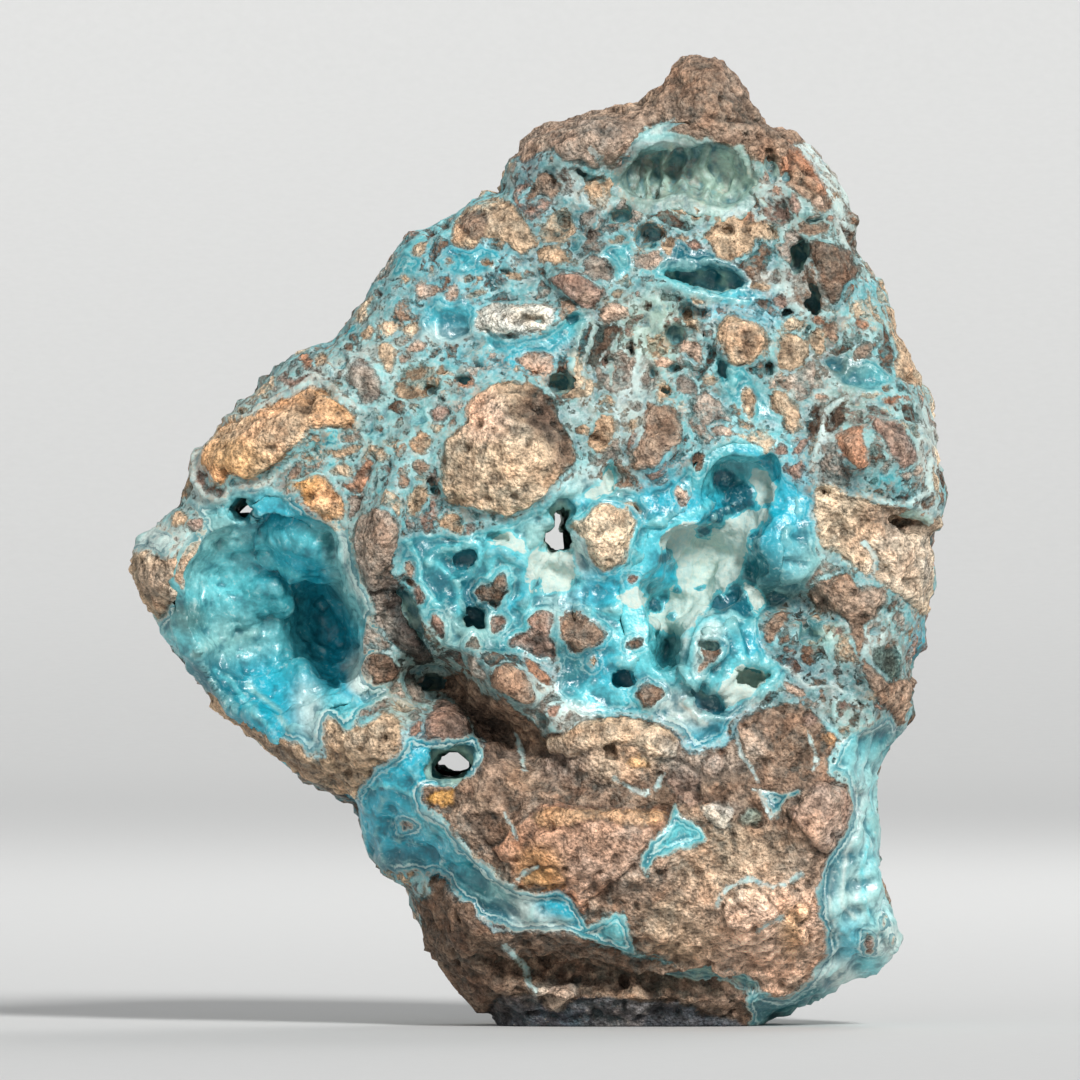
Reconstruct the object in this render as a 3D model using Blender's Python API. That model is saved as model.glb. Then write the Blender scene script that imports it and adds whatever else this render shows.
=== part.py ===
"""Raw smithsonite: a hand-size chunk of brown rock fragments cemented by
turquoise smithsonite, with three hollows whose linings are crusts of their own.

Sizes are in millimetres while the shape is worked out. +Z is up, the face
with the hollows looks towards -Y, and the chunk stands on a flat at Z = 0.
"""
import math
from itertools import product

import bmesh
import bpy
import numpy as np

for item in list(bpy.data.objects):
    bpy.data.objects.remove(item, do_unlink=True)

# Driving sizes, in millimetres apart from MM, which turns them into metres.
MM = 0.001
STEP = 0.8              # spacing of the samples the stone is carved from
LOW = (-54.0, -31.0, -5.2)
HIGH = (54.0, 29.0, 125.0)
CRUST = 2.0             # thickness of the lining in a hollow
GAP = 0.55              # clearance between a lining and the rock behind it
EDGE = 6.0              # rounding where the faces meet the outer edge
EDGE_GROWTH = 0.15      # makes up for that rounding along the outer edge
BLEND = 1.2             # rounding where a small opening meets the surface
STONE_TRIANGLES = 7500
SEED = 7                # settles the random lumps, so each run gives the same stone

# Outer edge of the chunk, (x, z), clockwise from the lower left. It runs below
# Z = 0 at the bottom, where the flat it stands on is cut.
OUTLINE = [
    (-4.5, -3), (-5.5, 0.4), (-7.5, 2.2), (-10, 4.3), (-12, 7.2), (-14, 9.5), (-14.3, 12),
    (-15.4, 15), (-16, 17.3), (-19.5, 18.8), (-21.3, 21.5), (-22.2, 24.5),
    (-22.6, 28.3), (-26, 30), (-29.1, 30.6), (-33.5, 33.8), (-36.9, 36.9),
    (-40.8, 40), (-42.6, 43.1), (-45.3, 46.3), (-47.3, 49.4), (-48.8, 52.5),
    (-50.6, 55.6), (-50.9, 58.8), (-50.3, 60.8), (-48.4, 61.7), (-47, 63.4),
    (-44.7, 64.9), (-44, 68), (-43.3, 71.6), (-40.2, 73.4), (-39.7, 75),
    (-37, 77.7), (-33.5, 80.4), (-31.3, 83.4), (-28.5, 84.8), (-26, 85.2),
    (-24, 87.6), (-22, 90.2), (-20.4, 93.1), (-18.5, 96.3), (-16, 99),
    (-14, 99.3), (-11, 101.2), (-8, 103.2), (-4.8, 103.8), (-4.4, 107.5),
    (-2, 109.8), (0, 111.8), (4, 112.8), (8, 114), (12.8, 114.6),
    (14, 116.2), (16, 118.2), (17.5, 120.2), (19.5, 121.3), (21.5, 121.6),
    (23, 121), (24, 119.9), (25, 118), (26.8, 114.5), (28.5, 112),
    (31.5, 111.3), (34, 109.3), (37, 106.3), (38.3, 103.3), (39.4, 100),
    (39.3, 96.8), (41.3, 94), (43.5, 90), (44.3, 86.5), (46, 83),
    (47.3, 80.3), (48.4, 77.5), (49.4, 74.4), (49.8, 70), (50.7, 66.5),
    (50.6, 64.8), (49.4, 62.6), (47.3, 61.3), (47.6, 59.6), (48.7, 55.3),
    (48, 53.3), (48, 47.6), (46.6, 45.8), (46.3, 41), (46.8, 39),
    (46, 37.2), (44, 35), (42, 31.5), (42.1, 26.8), (42.6, 24.6),
    (41.6, 20), (41.9, 18), (43.2, 15.8), (44, 13.4), (45.5, 11),
    (45.3, 10.2), (44, 8.8), (42.2, 6.7), (38, 5.4), (35, 3.8),
    (32, 2.1), (28.5, 0.9), (26.5, -3),
]

# How far the face stands towards the viewer at each height: (z, reach).
FACE_PROFILE = [
    (-4, 8), (1, 10), (4, 12.5), (8, 14), (11.5, 19), (16, 21), (24, 22),
    (34, 21), (44, 19), (56, 18), (70, 17.5), (80, 15), (90, 12), (99, 9),
    (105, 7), (110, 8), (114, 7), (118, 6.5), (124, 5.5),
]

# Swellings (+) and dips (-) of the face: x, z, half width, half height,
# turn in degrees, rise.
FACE_FORMS = [
    (3, 110.5, 10, 3.2, 14, 3.0),       # brown shoulder below the peak
    (21, 115, 5, 6, 0, 2.5),            # peak
    (33, 104.5, 4, 7, 25, 2.5),         # right of the upper hollow
    (36.5, 95, 3.5, 4, 0, 2.0),
    (-3.5, 72, 7.5, 8, 0, 3.0),         # large rounded fragment
    (-34, 73, 9, 3.2, 24, 2.5),         # rusty fragment on the left
    (-19, 62, 3.2, 9, -12, 5.5),        # ridge beside the left hollow
    (-11.5, 50, 3.6, 6, 40, 3.0),
    (-4.5, 43.5, 6.5, 2.6, -38, 4.5),
    (-13.5, 43, 4.2, 3.2, 0, -8.0),     # shaded recess under the ridge
    (-5, 37, 8, 2.6, -36, -7.5),
    (-20, 36, 6, 4, 0, 2.0),
    (-46, 56.5, 6, 5, 0, 2.0),          # far left tip
    (42, 71.5, 7.0, 6.0, 0, 4.5),       # banded block on the right
    (43, 56, 5, 7, 0, 0.8),
    (30, 59.5, 4.5, 4.5, 0, 3.0),       # dome beside the middle hollow
    (30, 53, 5, 2.2, -10, -5.0),
    (42, 43.5, 3.2, 8, 28, 2.5),
    (8, 23, 13, 7, 0, 2.0),             # rusty mass low down
    (28, 15, 8, 6, 0, 1.6),
    (35, 26.5, 4.5, 4.5, 0, 2.0),
    (38, 17, 2.4, 12, 6, -3.0),         # seam down the lower right
    (-14, 20.5, 9, 3.4, -34, -7.0),     # scooped side low on the left
    (2, 56.5, 4, 3.5, 0, -3.0),
    (-4.5, 57.5, 4, 4, 0, 2.2),
    (-11, 60.5, 4, 3.2, 0, 1.8),
    (21.5, 47, 3.4, 4, -25, 2.5),       # ringed fragment
    (-2.5, 88, 5.5, 2.2, 0, 1.4),
    (4.8, 92, 4, 2, -25, 1.4),
    (25, 85, 3.5, 3.2, 0, 1.5),
    (15, 73, 3.4, 4.5, 0, 1.2),
    (8.5, 60.5, 3.5, 4, 0, 1.6),
    (10, 83, 5, 7, 0, -1.6),
    (-15, 84, 8, 5, 20, -1.2),
    (36, 84, 5, 5, 0, -1.4),
]

# Fragments that stand a little proud: x, z, half width, half height, turn, rise.
FRAGMENTS = [
    (-3.8, 71.8, 8.4, 8.6, 0, 1.6),
    (-33.5, 73.2, 9.5, 3.2, 24, 1.4),
    (-45.8, 56.4, 5.0, 4.2, 30, 1.2),
    (-29.0, 66.2, 3.0, 2.6, -35, 1.0),
    (-20.8, 35.8, 5.0, 3.4, -10, 1.2),
    (-11.8, 38.0, 2.9, 2.2, 0, 1.0),
    (-19.8, 44.9, 2.5, 2.0, 0, 1.0),
    (-21.0, 59.0, 2.6, 6.5, -14, 1.2),
    (-6.2, 54.6, 2.4, 1.6, 20, 0.8),
    (1.0, 49.2, 3.0, 2.8, 0, 1.0),
    (5.0, 49.4, 3.0, 2.4, -30, 0.9),
    (-3.2, 43.0, 3.0, 2.0, -25, 1.0),
    (8.6, 60.6, 3.6, 4.0, 10, 1.2),
    (14.4, 73.4, 3.6, 4.6, 0, 1.0),
    (-2.8, 88.0, 4.6, 1.8, 0, 1.1),
    (4.8, 92.2, 3.6, 1.8, -25, 1.0),
    (25.0, 85.4, 2.9, 3.0, 0, 1.3),
    (36.8, 94.6, 2.9, 3.6, -10, 1.1),
    (38.8, 71.8, 2.4, 2.4, 0, 1.0),
    (44.0, 73.0, 2.6, 2.8, 0, 0.8),
    (43.0, 58.0, 5.0, 5.2, 20, 1.0),
    (38.6, 53.8, 4.4, 2.4, 0, 1.0),
    (30.0, 49.2, 2.4, 2.2, 40, 0.9),
    (7.0, 22.6, 9.0, 5.0, 0, 1.2),
    (26.2, 14.4, 3.5, 3.2, 0, 1.1),
    (35.0, 26.4, 3.7, 3.9, 0, 1.5),
    (22.2, 26.2, 2.3, 1.7, 0, 1.0),
    (10.4, 34.4, 6.5, 3.6, -6, 1.2),
    (13.6, 41.2, 2.0, 1.6, 0, 0.9),
    (29.0, 36.5, 4.6, 3.0, 0, 1.0),
    (-10.8, 12.4, 3.6, 5.5, 14, 1.2),
    (6.0, 109.6, 6.5, 2.2, 10, 1.0),
    (-22.0, 81.2, 2.4, 2.2, 0, 0.8),
    (-8.0, 99.5, 2.2, 2.0, 0, 0.8),
]

# Flats where the back broke away: outward direction and distance.
BROKEN_FACES = [
    ((0.22, 0.96, 0.10), 24.0),
    ((-0.36, 0.92, 0.12), 25.5),
    ((0.10, 0.80, 0.58), 38.0),
    ((0.42, 0.86, -0.26), 37.0),
    ((-0.30, 0.84, -0.42), 33.0),
]

# Hollows: x, z, half width, half height, turn, half depth, centre below face.
LEFT_POCKET = [
    (-27.5, 50.5, 5.4, 9.5, 18, 17.0, 3.0),
    (-35.0, 47.5, 10.5, 8.5, -38, 10.5, 0.0),
    (-37.5, 54.5, 6.5, 8.0, 20, 8.5, 0.5),
    (-31.0, 60.0, 5.8, 4.6, 0, 10.0, 2.0),
]
LEFT_LUMPS = [
    (-29.8, 60.4, 4.4, 4.2, 0, 4.6, 6.5),
    (-35.5, 53.5, 4.0, 2.8, 10, 3.0, 10.0),
]
CENTRE_VUG = [
    (20.5, 57.0, 6.2, 6.4, 0, 9.5, 1.5),
    (24.6, 65.4, 4.9, 6.0, -10, 8.5, 1.5),
    (16.0, 52.8, 4.2, 4.0, 20, 9.0, 2.0),
    (15.8, 47.3, 2.6, 3.4, 0, 10.0, 3.0),
    (17.2, 60.0, 2.6, 2.6, 0, 6.0, 0.5),
    (26.0, 57.0, 2.6, 3.4, 0, 6.0, 0.5),
    (28.4, 67.6, 2.0, 3.4, 0, 5.0, 0.5),
]
CENTRE_LUMPS = [
    (24.6, 56.0, 2.6, 2.2, 0, 2.4, 8.5),
]
TOP_VUG = [
    (16.0, 106.6, 5.8, 3.4, 10, 6.0, 0.5),
    (21.8, 106.2, 3.4, 3.9, 0, 5.6, 0.5),
]
TOP_LUMPS = [
    (21.6, 106.4, 2.0, 2.4, 0, 2.6, 5.2),
]
# Small open pits with no lining of their own.
PITS = [
    (26.0, 43.8, 2.6, 1.9, -22, 7.0, 1.5),
    (21.0, 40.8, 3.0, 1.7, -30, 3.0, 0.0),
    (20.0, 93.0, 4.8, 1.7, -12, 5.0, 1.0),
    (32.2, 96.0, 1.4, 2.7, -8, 6.0, 1.0),
    (34.0, 90.4, 1.2, 2.4, 0, 4.0, 1.0),
    (2.2, 80.0, 1.8, 1.5, 20, 5.0, 1.0),
    (-8.4, 50.8, 2.0, 1.2, -35, 6.0, 1.0),
    (46.0, 62.6, 4.0, 1.5, -8, 6.0, 1.5),
    (28.7, 107.0, 1.1, 2.0, 0, 3.0, 0.5),
    (10.0, 101.0, 1.7, 1.2, 0, 3.0, 0.5),
    (13.4, 98.3, 1.4, 1.4, 0, 3.0, 0.5),
    (10.3, 43.5, 1.3, 1.2, 0, 3.0, 0.5),
    (4.0, 6.6, 13.0, 2.4, -8, 5.0, 0.5),
    (20.0, 5.4, 9.0, 1.9, -8, 4.0, 0.5),
]
# Holes that pass right through: x, z, half width, half height, turn, lean.
OPEN_HOLES = [
    (-11.0, 32.7, 2.6, 1.8, 8, 0.03),
    (2.1, 62.2, 1.7, 2.9, 0, -0.02),
    (-36.6, 64.1, 1.5, 1.0, 10, 0.02),
]


def smooth_low(first, second, width):
    """Smaller of two fields, with the corner between them rounded."""
    blend = np.maximum(width - np.abs(first - second), 0.0) / width
    return np.minimum(first, second) - blend * blend * width * 0.25


def smooth_high(first, second, width):
    """Larger of two fields, with the corner between them rounded."""
    return -smooth_low(-first, -second, width)


def turned(x, z, angle):
    """Coordinates along and across a form turned by an angle in degrees."""
    cosine = math.cos(math.radians(angle))
    sine = math.sin(math.radians(angle))
    return x * cosine + z * sine, z * cosine - x * sine


def outline_depth(x, z):
    """Distance inside the outer edge; negative outside it."""
    nearest = np.full(np.broadcast(x, z).shape, 1e9)
    inside = np.zeros(nearest.shape, dtype=bool)
    for (ax, az), (bx, bz) in zip(OUTLINE, OUTLINE[1:] + OUTLINE[:1]):
        along = ((x - ax) * (bx - ax) + (z - az) * (bz - az))
        along = np.clip(along / ((bx - ax) ** 2 + (bz - az) ** 2), 0.0, 1.0)
        gap = np.hypot(x - ax - along * (bx - ax), z - az - along * (bz - az))
        nearest = np.minimum(nearest, gap)
        if az != bz:
            crosses = (az > z) != (bz > z)
            inside ^= crosses & (x < ax + (z - az) * (bx - ax) / (bz - az))
    return np.where(inside, nearest, -nearest)


def face_reach(x, z):
    """How far the face stands towards the viewer."""
    heights = [height for height, _ in FACE_PROFILE]
    reaches = [reach for _, reach in FACE_PROFILE]
    reach = np.interp(z, heights, reaches) - 11.0 * ((x - 9.0) / 56.0) ** 2
    for centre_x, centre_z, wide, high, angle, rise in FACE_FORMS:
        along, across = turned(x - centre_x, z - centre_z, angle)
        reach = reach + rise * np.exp(-((along / wide) ** 2 + (across / high) ** 2))
    for centre_x, centre_z, wide, high, angle, rise in FRAGMENTS:
        along, across = turned(x - centre_x, z - centre_z, angle)
        reach = reach + rise * np.exp(-((along / wide) ** 2 + (across / high) ** 2) ** 3)
    return reach


class Carving:
    """A block of evenly spaced samples that forms are added to and cut from."""

    def __init__(self, low, high, step):
        self.low = np.array(low)
        self.step = step
        self.axes = [np.arange(a, b, step) for a, b in zip(low, high)]
        self.shape = tuple(len(axis) for axis in self.axes)
        self.x = self.axes[0][:, None, None]
        self.y = self.axes[1][None, :, None]
        self.z = self.axes[2][None, None, :]
        self.face = face_reach(self.x, self.z)

    def ellipsoid(self, form):
        """Depth inside one ellipsoid, whose place is given from the face."""
        centre_x, centre_z, wide, high, angle, deep, below = form
        centre_y = below - float(face_reach(np.float64(centre_x), np.float64(centre_z)))
        along, across = turned(self.x - centre_x, self.z - centre_z, angle)
        into = self.y - centre_y
        scale = np.sqrt((along / wide) ** 2 + (into / deep) ** 2 + (across / high) ** 2)
        steep = np.sqrt((along / wide ** 2) ** 2 + (into / deep ** 2) ** 2
                        + (across / high ** 2) ** 2)
        return scale * (1.0 - scale) / np.maximum(steep, 1e-6)

    def tunnel(self, form):
        """Depth inside a hole that runs from the face to the back."""
        centre_x, centre_z, wide, high, angle, lean = form
        along, across = turned(self.x - centre_x - lean * (self.y + 12.0),
                               self.z - centre_z - 0.5 * lean * (self.y + 12.0), angle)
        flare = 1.0 + 0.012 * np.abs(self.y + 4.0)
        scale = np.sqrt((along / (wide * flare)) ** 2 + (across / (high * flare)) ** 2)
        return (1.0 - scale) * min(wide, high)

    def hollow(self, scoops, lumps):
        """Depth inside an open hollow: scoops joined, less the lumps in it."""
        space = self.ellipsoid(scoops[0])
        for form in scoops[1:]:
            space = smooth_high(space, self.ellipsoid(form), 2.0)
        for form in lumps:
            space = smooth_low(space, -self.ellipsoid(form), 1.6)
        return space

    def noise(self, cell, seed):
        """Smooth noise from -1 to 1 over the whole block, in cells of one size."""
        values = np.random.default_rng(seed).uniform(-1.0, 1.0, (40, 40, 40))
        for axis in self.axes:
            place = axis / cell
            start = np.floor(place)
            share = (place - start) ** 2 * (3.0 - 2.0 * (place - start))
            start = start.astype(int)
            weights = np.zeros((len(axis), 40))
            rows = np.arange(len(axis))
            weights[rows, start % 40] += 1.0 - share
            weights[rows, (start + 1) % 40] += share
            values = np.tensordot(values, weights, axes=(0, 1))
        return values

    def soften(self, layer, reach):
        """Average a layer over its neighbours, out to a reach in millimetres."""
        steps = np.arange(-2.5 * reach, 2.6 * reach, self.step)
        kernel = np.exp(-0.5 * (steps / reach) ** 2)
        kernel /= kernel.sum()
        half = len(kernel) // 2
        for axis in (0, 2):
            pad = [(0, 0)] * 3
            pad[axis] = (half, len(kernel) - 1 - half)
            wide = np.pad(layer, pad, mode="edge")
            layer = sum(share * np.take(wide, range(start, start + layer.shape[axis]), axis)
                        for start, share in enumerate(kernel))
        return layer

    def chunk(self):
        """Depth inside the whole chunk before any hollow is cut."""
        swell = self.noise(15.0, SEED)
        knobs = self.noise(7.0, SEED + 1)
        chips = self.noise(3.6, SEED + 2)
        rough = 0.9 * knobs + 0.55 * chips
        away = np.abs(self.y + 1.0 - 3.0 * swell)
        sharp = outline_depth(self.x, self.z) + EDGE_GROWTH
        worn = np.clip(away / 12.0, 0.0, 1.0)
        edge = sharp * (1.0 - worn) + self.soften(sharp, 4.5) * worn
        edge = edge - 0.008 * away ** 2 - away * (0.05 + 0.12 * swell + 0.08 * rough)
        front = self.y + self.face + 0.8 * swell + 0.5 * rough
        solid = smooth_low(edge, front, EDGE)
        for direction, reach in BROKEN_FACES:
            plane = reach - (self.x * direction[0] + self.y * direction[1]
                             + (self.z - 60.0) * direction[2])
            solid = smooth_low(solid, plane + 1.2 * swell + rough, 5.0)
        return solid

    def surface(self, depth):
        """Mesh drawn where the depth is zero: one point in every cell it crosses."""
        inside = depth > 0.0
        count = np.zeros(tuple(size - 1 for size in self.shape), dtype=np.int8)
        for i, j, k in product((0, 1), repeat=3):
            count += inside[i:i + count.shape[0], j:j + count.shape[1], k:k + count.shape[2]]
        cells = np.argwhere((count > 0) & (count < 8))
        number = np.full(count.shape, -1)
        number[tuple(cells.T)] = np.arange(len(cells))
        total = np.zeros((len(cells), 3))
        hits = np.zeros((len(cells), 1))
        for start in product((0, 1), repeat=3):
            for axis in range(3):
                if start[axis]:
                    continue
                end = np.array(start)
                end[axis] = 1
                first = depth[tuple((cells + start).T)]
                last = depth[tuple((cells + end).T)]
                crosses = (first > 0.0) != (last > 0.0)
                share = np.where(crosses, first / np.where(crosses, first - last, 1.0), 0.0)
                spot = np.array(start) + share[:, None] * (end - np.array(start))
                total += spot * crosses[:, None]
                hits += crosses[:, None]
        points = self.low + self.step * (cells + total / hits)
        faces = []
        for axis in range(3):
            side, up = [(1, 2), (2, 0), (0, 1)][axis]
            ahead = [slice(None)] * 3
            behind = [slice(None)] * 3
            ahead[axis] = slice(1, None)
            behind[axis] = slice(None, -1)
            leaving = inside[tuple(behind)] & ~inside[tuple(ahead)]
            entering = ~inside[tuple(behind)] & inside[tuple(ahead)]
            for change, order in ((leaving, 1), (entering, -1)):
                spots = np.argwhere(change)
                around = []
                for step_side, step_up in ((0, 0), (1, 0), (1, 1), (0, 1)):
                    cell = spots.copy()
                    cell[:, side] -= 1 - step_side
                    cell[:, up] -= 1 - step_up
                    around.append(number[tuple(cell.T)])
                faces.append(np.stack(around[::order], axis=1))
        return points, np.concatenate(faces)


def make_object(name, points, faces, color, roughness):
    """Object with a plain material, made from points in millimetres."""
    mesh = bpy.data.meshes.new(name)
    mesh.from_pydata((points * MM).tolist(), [], faces.tolist())
    piece = bpy.data.objects.new(name, mesh)
    bpy.context.scene.collection.objects.link(piece)
    material = bpy.data.materials.new(name)
    material.use_nodes = True
    shader = material.node_tree.nodes["Principled BSDF"]
    shader.inputs["Base Color"].default_value = (*color, 1.0)
    shader.inputs["Roughness"].default_value = roughness
    mesh.materials.append(material)
    return piece


def keep_largest(piece):
    """Drop loose crumbs, so the piece is a single body."""
    work = bmesh.new()
    work.from_mesh(piece.data)
    todo = set(work.verts)
    islands = []
    while todo:
        stack = [todo.pop()]
        island = set(stack)
        while stack:
            for edge in stack.pop().link_edges:
                for vertex in edge.verts:
                    if vertex in todo:
                        todo.discard(vertex)
                        island.add(vertex)
                        stack.append(vertex)
        islands.append(island)
    islands.sort(key=len, reverse=True)
    crumbs = [vertex for island in islands[1:] for vertex in island]
    bmesh.ops.delete(work, geom=crumbs, context="VERTS")
    work.to_mesh(piece.data)
    work.free()


def finish_mesh(piece, triangles):
    """Even the mesh out, drop crumbs, then thin it to a number of triangles."""
    even = piece.modifiers.new("even", "REMESH")
    even.mode = "VOXEL"
    even.voxel_size = STEP * MM
    even.use_smooth_shade = True
    bake(piece)
    keep_largest(piece)
    thin = piece.modifiers.new("thin", "DECIMATE")
    thin.decimate_type = "COLLAPSE"
    thin.ratio = triangles / (2 * len(piece.data.polygons))
    thin.use_collapse_triangulate = True
    bake(piece)
    piece.data.shade_smooth()


def bake(piece):
    """Replace a piece's mesh by the result of its modifiers."""
    bpy.context.view_layer.update()
    graph = bpy.context.evaluated_depsgraph_get()
    result = bpy.data.meshes.new_from_object(piece.evaluated_get(graph))
    old = piece.data
    piece.modifiers.clear()
    piece.data = result
    bpy.data.meshes.remove(old)
    result.name = piece.name


def cut_flat(piece, height):
    """Cut a level flat to stand on."""
    work = bmesh.new()
    work.from_mesh(piece.data)
    everything = work.verts[:] + work.edges[:] + work.faces[:]
    bmesh.ops.bisect_plane(work, geom=everything, plane_co=(0, 0, height),
                           plane_no=(0, 0, -1), clear_outer=True)
    rim = [edge for edge in work.edges if edge.is_boundary]
    bmesh.ops.contextual_create(work, geom=rim)
    bmesh.ops.remove_doubles(work, verts=work.verts[:], dist=0.0001)
    bmesh.ops.dissolve_degenerate(work, edges=work.edges[:], dist=0.00005)
    bmesh.ops.triangulate(work, faces=[face for face in work.faces if len(face.verts) > 3])
    work.to_mesh(piece.data)
    work.free()


carving = Carving(LOW, HIGH, STEP)
chunk = carving.chunk()

pocket_space = carving.hollow(LEFT_POCKET, LEFT_LUMPS)
vug_space = carving.hollow(CENTRE_VUG, CENTRE_LUMPS)
top_space = carving.hollow(TOP_VUG, TOP_LUMPS)
open_space = carving.tunnel(OPEN_HOLES[0])
for form in OPEN_HOLES[1:]:
    open_space = np.maximum(open_space, carving.tunnel(form))
for form in PITS:
    open_space = smooth_high(open_space, carving.ellipsoid(form), BLEND)

# The rock: the chunk, less the small openings and the room for the linings.
rock = smooth_low(chunk, -open_space, BLEND)
for space in (pocket_space, vug_space, top_space):
    rock = np.minimum(rock, -(space + CRUST + GAP))

stone = make_object("breccia_stone", *carving.surface(rock), (0.34, 0.25, 0.18), 0.85)
finish_mesh(stone, STONE_TRIANGLES)
cut_flat(stone, 0.0)

linings = [
    ("left_pocket_crust", pocket_space, (0.05, 0.42, 0.48), 0.35, 1050),
    ("centre_vug_crust", vug_space, (0.45, 0.55, 0.48), 0.6, 850),
    ("top_vug_crust", top_space, (0.25, 0.45, 0.42), 0.5, 420),
]
pieces = [stone]
for name, space, color, roughness, triangles in linings:
    lining = np.minimum(chunk - 0.1, np.minimum(space + CRUST, -space))
    lining = np.minimum(lining, -open_space - GAP)
    crust = make_object(name, *carving.surface(lining), color, roughness)
    finish_mesh(crust, triangles)
    pieces.append(crust)

# Centre everything over the middle of the whole chunk.
corners = np.array([vertex.co[:] for vertex in stone.data.vertices])
middle = (corners.min(axis=0) + corners.max(axis=0)) / 2.0
for piece in pieces:
    for vertex in piece.data.vertices:
        vertex.co.x -= middle[0]
        vertex.co.y -= middle[1]
    print(piece.name, len(piece.data.polygons), "triangles")
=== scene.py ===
# %% [markdown]
# # Raw smithsonite
# This chunk is a breccia: brown rock that once broke into pieces and was glued
# together again by smithsonite, a waxy zinc mineral the colour of a shallow sea.
# Where the gaps were wide the mineral left hollows lined with a smooth crust.
#
# A stone like this has no parts to assemble, so it is carved. A block of evenly
# spaced samples says how deep inside the stone each place is, forms are added to
# and cut from those numbers, and a mesh is drawn where the depth is zero. The same
# depths then tell the finish where there is rock and where there is mineral.

import math
import time
from itertools import product

import bpy
import numpy as np
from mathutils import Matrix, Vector


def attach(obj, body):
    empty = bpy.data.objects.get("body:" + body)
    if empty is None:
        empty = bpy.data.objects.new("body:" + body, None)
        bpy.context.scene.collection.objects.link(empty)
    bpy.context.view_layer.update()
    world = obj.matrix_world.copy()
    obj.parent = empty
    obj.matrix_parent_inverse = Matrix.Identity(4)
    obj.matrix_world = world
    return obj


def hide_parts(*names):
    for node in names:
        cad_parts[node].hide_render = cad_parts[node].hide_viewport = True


started = time.time()
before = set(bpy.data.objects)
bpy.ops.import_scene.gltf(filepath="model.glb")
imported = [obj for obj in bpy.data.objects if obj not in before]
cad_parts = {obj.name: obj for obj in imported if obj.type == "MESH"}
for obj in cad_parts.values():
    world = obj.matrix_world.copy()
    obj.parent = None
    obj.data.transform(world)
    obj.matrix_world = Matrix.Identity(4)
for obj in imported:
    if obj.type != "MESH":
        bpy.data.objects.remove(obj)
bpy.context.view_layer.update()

# %% [markdown]
# ## Driving sizes
# Everything is worked out in millimetres and turned into metres at the end, because
# a crust two millimetres thick is easier to think about than 0.002 of anything.
# The smaller the step between samples, the finer the stone and the longer the wait.

MM = 0.001
STONE_STEP = 0.42
LINING_STEP = 0.32
CRUST = 2.0             # thickness of the lining in a hollow
OVERLAP = 0.4           # how far a lining is sunk into the rock behind it
SHIFT_Y = -0.62         # from the carving block to the middle of the model
print("Samples stand", STONE_STEP, "mm apart in the stone")

# %% [markdown]
# ## The outer edge
# Seen from the front, the chunk has one ragged outline: a peak at the top right, a
# long slope down the left, and a foot that it stands on. It is a list of corners,
# going round once. The foot runs a little below the floor, where it is cut level.
# This table and those after it are written as text with a comma after each row,
# which reads more easily than hundreds of brackets.

# %% Outline of the chunk
def rows(text):
    """Rows of numbers, with a word in some; a comma ends each row."""
    return [tuple(part if part.isalpha() else float(part) for part in row.split())
            for row in text.split(",")]


# corners (x, z)
OUTLINE = rows("""-4.5 -3, -5.5 0.4, -7.5 2.2, -10 4.3, -12 7.2, -14 9.5, -14.3 12, -15.4 15,
-16 17.3, -19.5 18.8, -21.3 21.5, -22.2 24.5, -22.6 28.3, -26 30, -29.1 30.6, -33.5 33.8,
-36.9 36.9, -40.8 40, -42.6 43.1, -45.3 46.3, -47.3 49.4, -48.8 52.5, -50.6 55.6, -50.9 58.8,
-50.3 60.8, -48.4 61.7, -47 63.4, -44.7 64.9, -44 68, -43.3 71.6, -40.2 73.4, -39.7 75,
-37 77.7, -33.5 80.4, -31.3 83.4, -28.5 84.8, -26 85.2, -24 87.6, -22 90.2, -20.4 93.1,
-18.5 96.3, -16 99, -14 99.3, -11 101.2, -8 103.2, -4.8 103.8, -4.4 107.5, -2 109.8, 0 111.8,
4 112.8, 8 114, 12.8 114.6, 14 116.2, 16 118.2, 17.5 120.2, 19.5 121.3, 21.5 121.6, 23 121,
24 119.9, 25 118, 26.8 114.5, 28.5 112, 31.5 111.3, 34 109.3, 37 106.3, 38.3 103.3, 39.4 100,
39.3 96.8, 41.3 94, 43.5 90, 44.3 86.5, 46 83, 47.3 80.3, 48.4 77.5, 49.4 74.4, 49.8 70,
50.7 66.5, 50.6 64.8, 49.4 62.6, 47.3 61.3, 47.6 59.6, 48.7 55.3, 48 53.3, 48 47.6, 46.6 45.8,
46.3 41, 46.8 39, 46 37.2, 44 35, 42 31.5, 42.1 26.8, 42.6 24.6, 41.6 20, 41.9 18, 43.2 15.8,
44 13.4, 45.5 11, 45.3 10.2, 44 8.8, 42.2 6.7, 38 5.4, 35 3.8, 32 2.1, 28.5 0.9, 26.5 -3""")


def polygon_depth(x, z, corners):
    """Distance inside a closed outline; negative outside it."""
    nearest = np.full(np.broadcast(x, z).shape, 1e9)
    inside = np.zeros(nearest.shape, dtype=bool)
    for (ax, az), (bx, bz) in zip(corners, corners[1:] + corners[:1]):
        along = (x - ax) * (bx - ax) + (z - az) * (bz - az)
        along = np.clip(along / ((bx - ax) ** 2 + (bz - az) ** 2), 0.0, 1.0)
        gap = (x - ax - along * (bx - ax)) ** 2 + (z - az - along * (bz - az)) ** 2
        nearest = np.minimum(nearest, gap)
        if az != bz:
            crosses = (az > z) != (bz > z)
            inside ^= crosses & (x < ax + (z - az) * (bx - ax) / (bz - az))
    nearest = np.sqrt(nearest)
    return np.where(inside, nearest, -nearest)


print("The outline has", len(OUTLINE), "corners")

# %% [markdown]
# ## The front face
# The face isn't flat. It leans back towards the peak, bulges low down and has its
# own swellings and dips. A height for every place on it is the sum of a profile and
# of soft mounds, each given by a place, two half widths, a turn and a rise. Rock
# fragments that stand proud use the same numbers with a flatter top.

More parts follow.
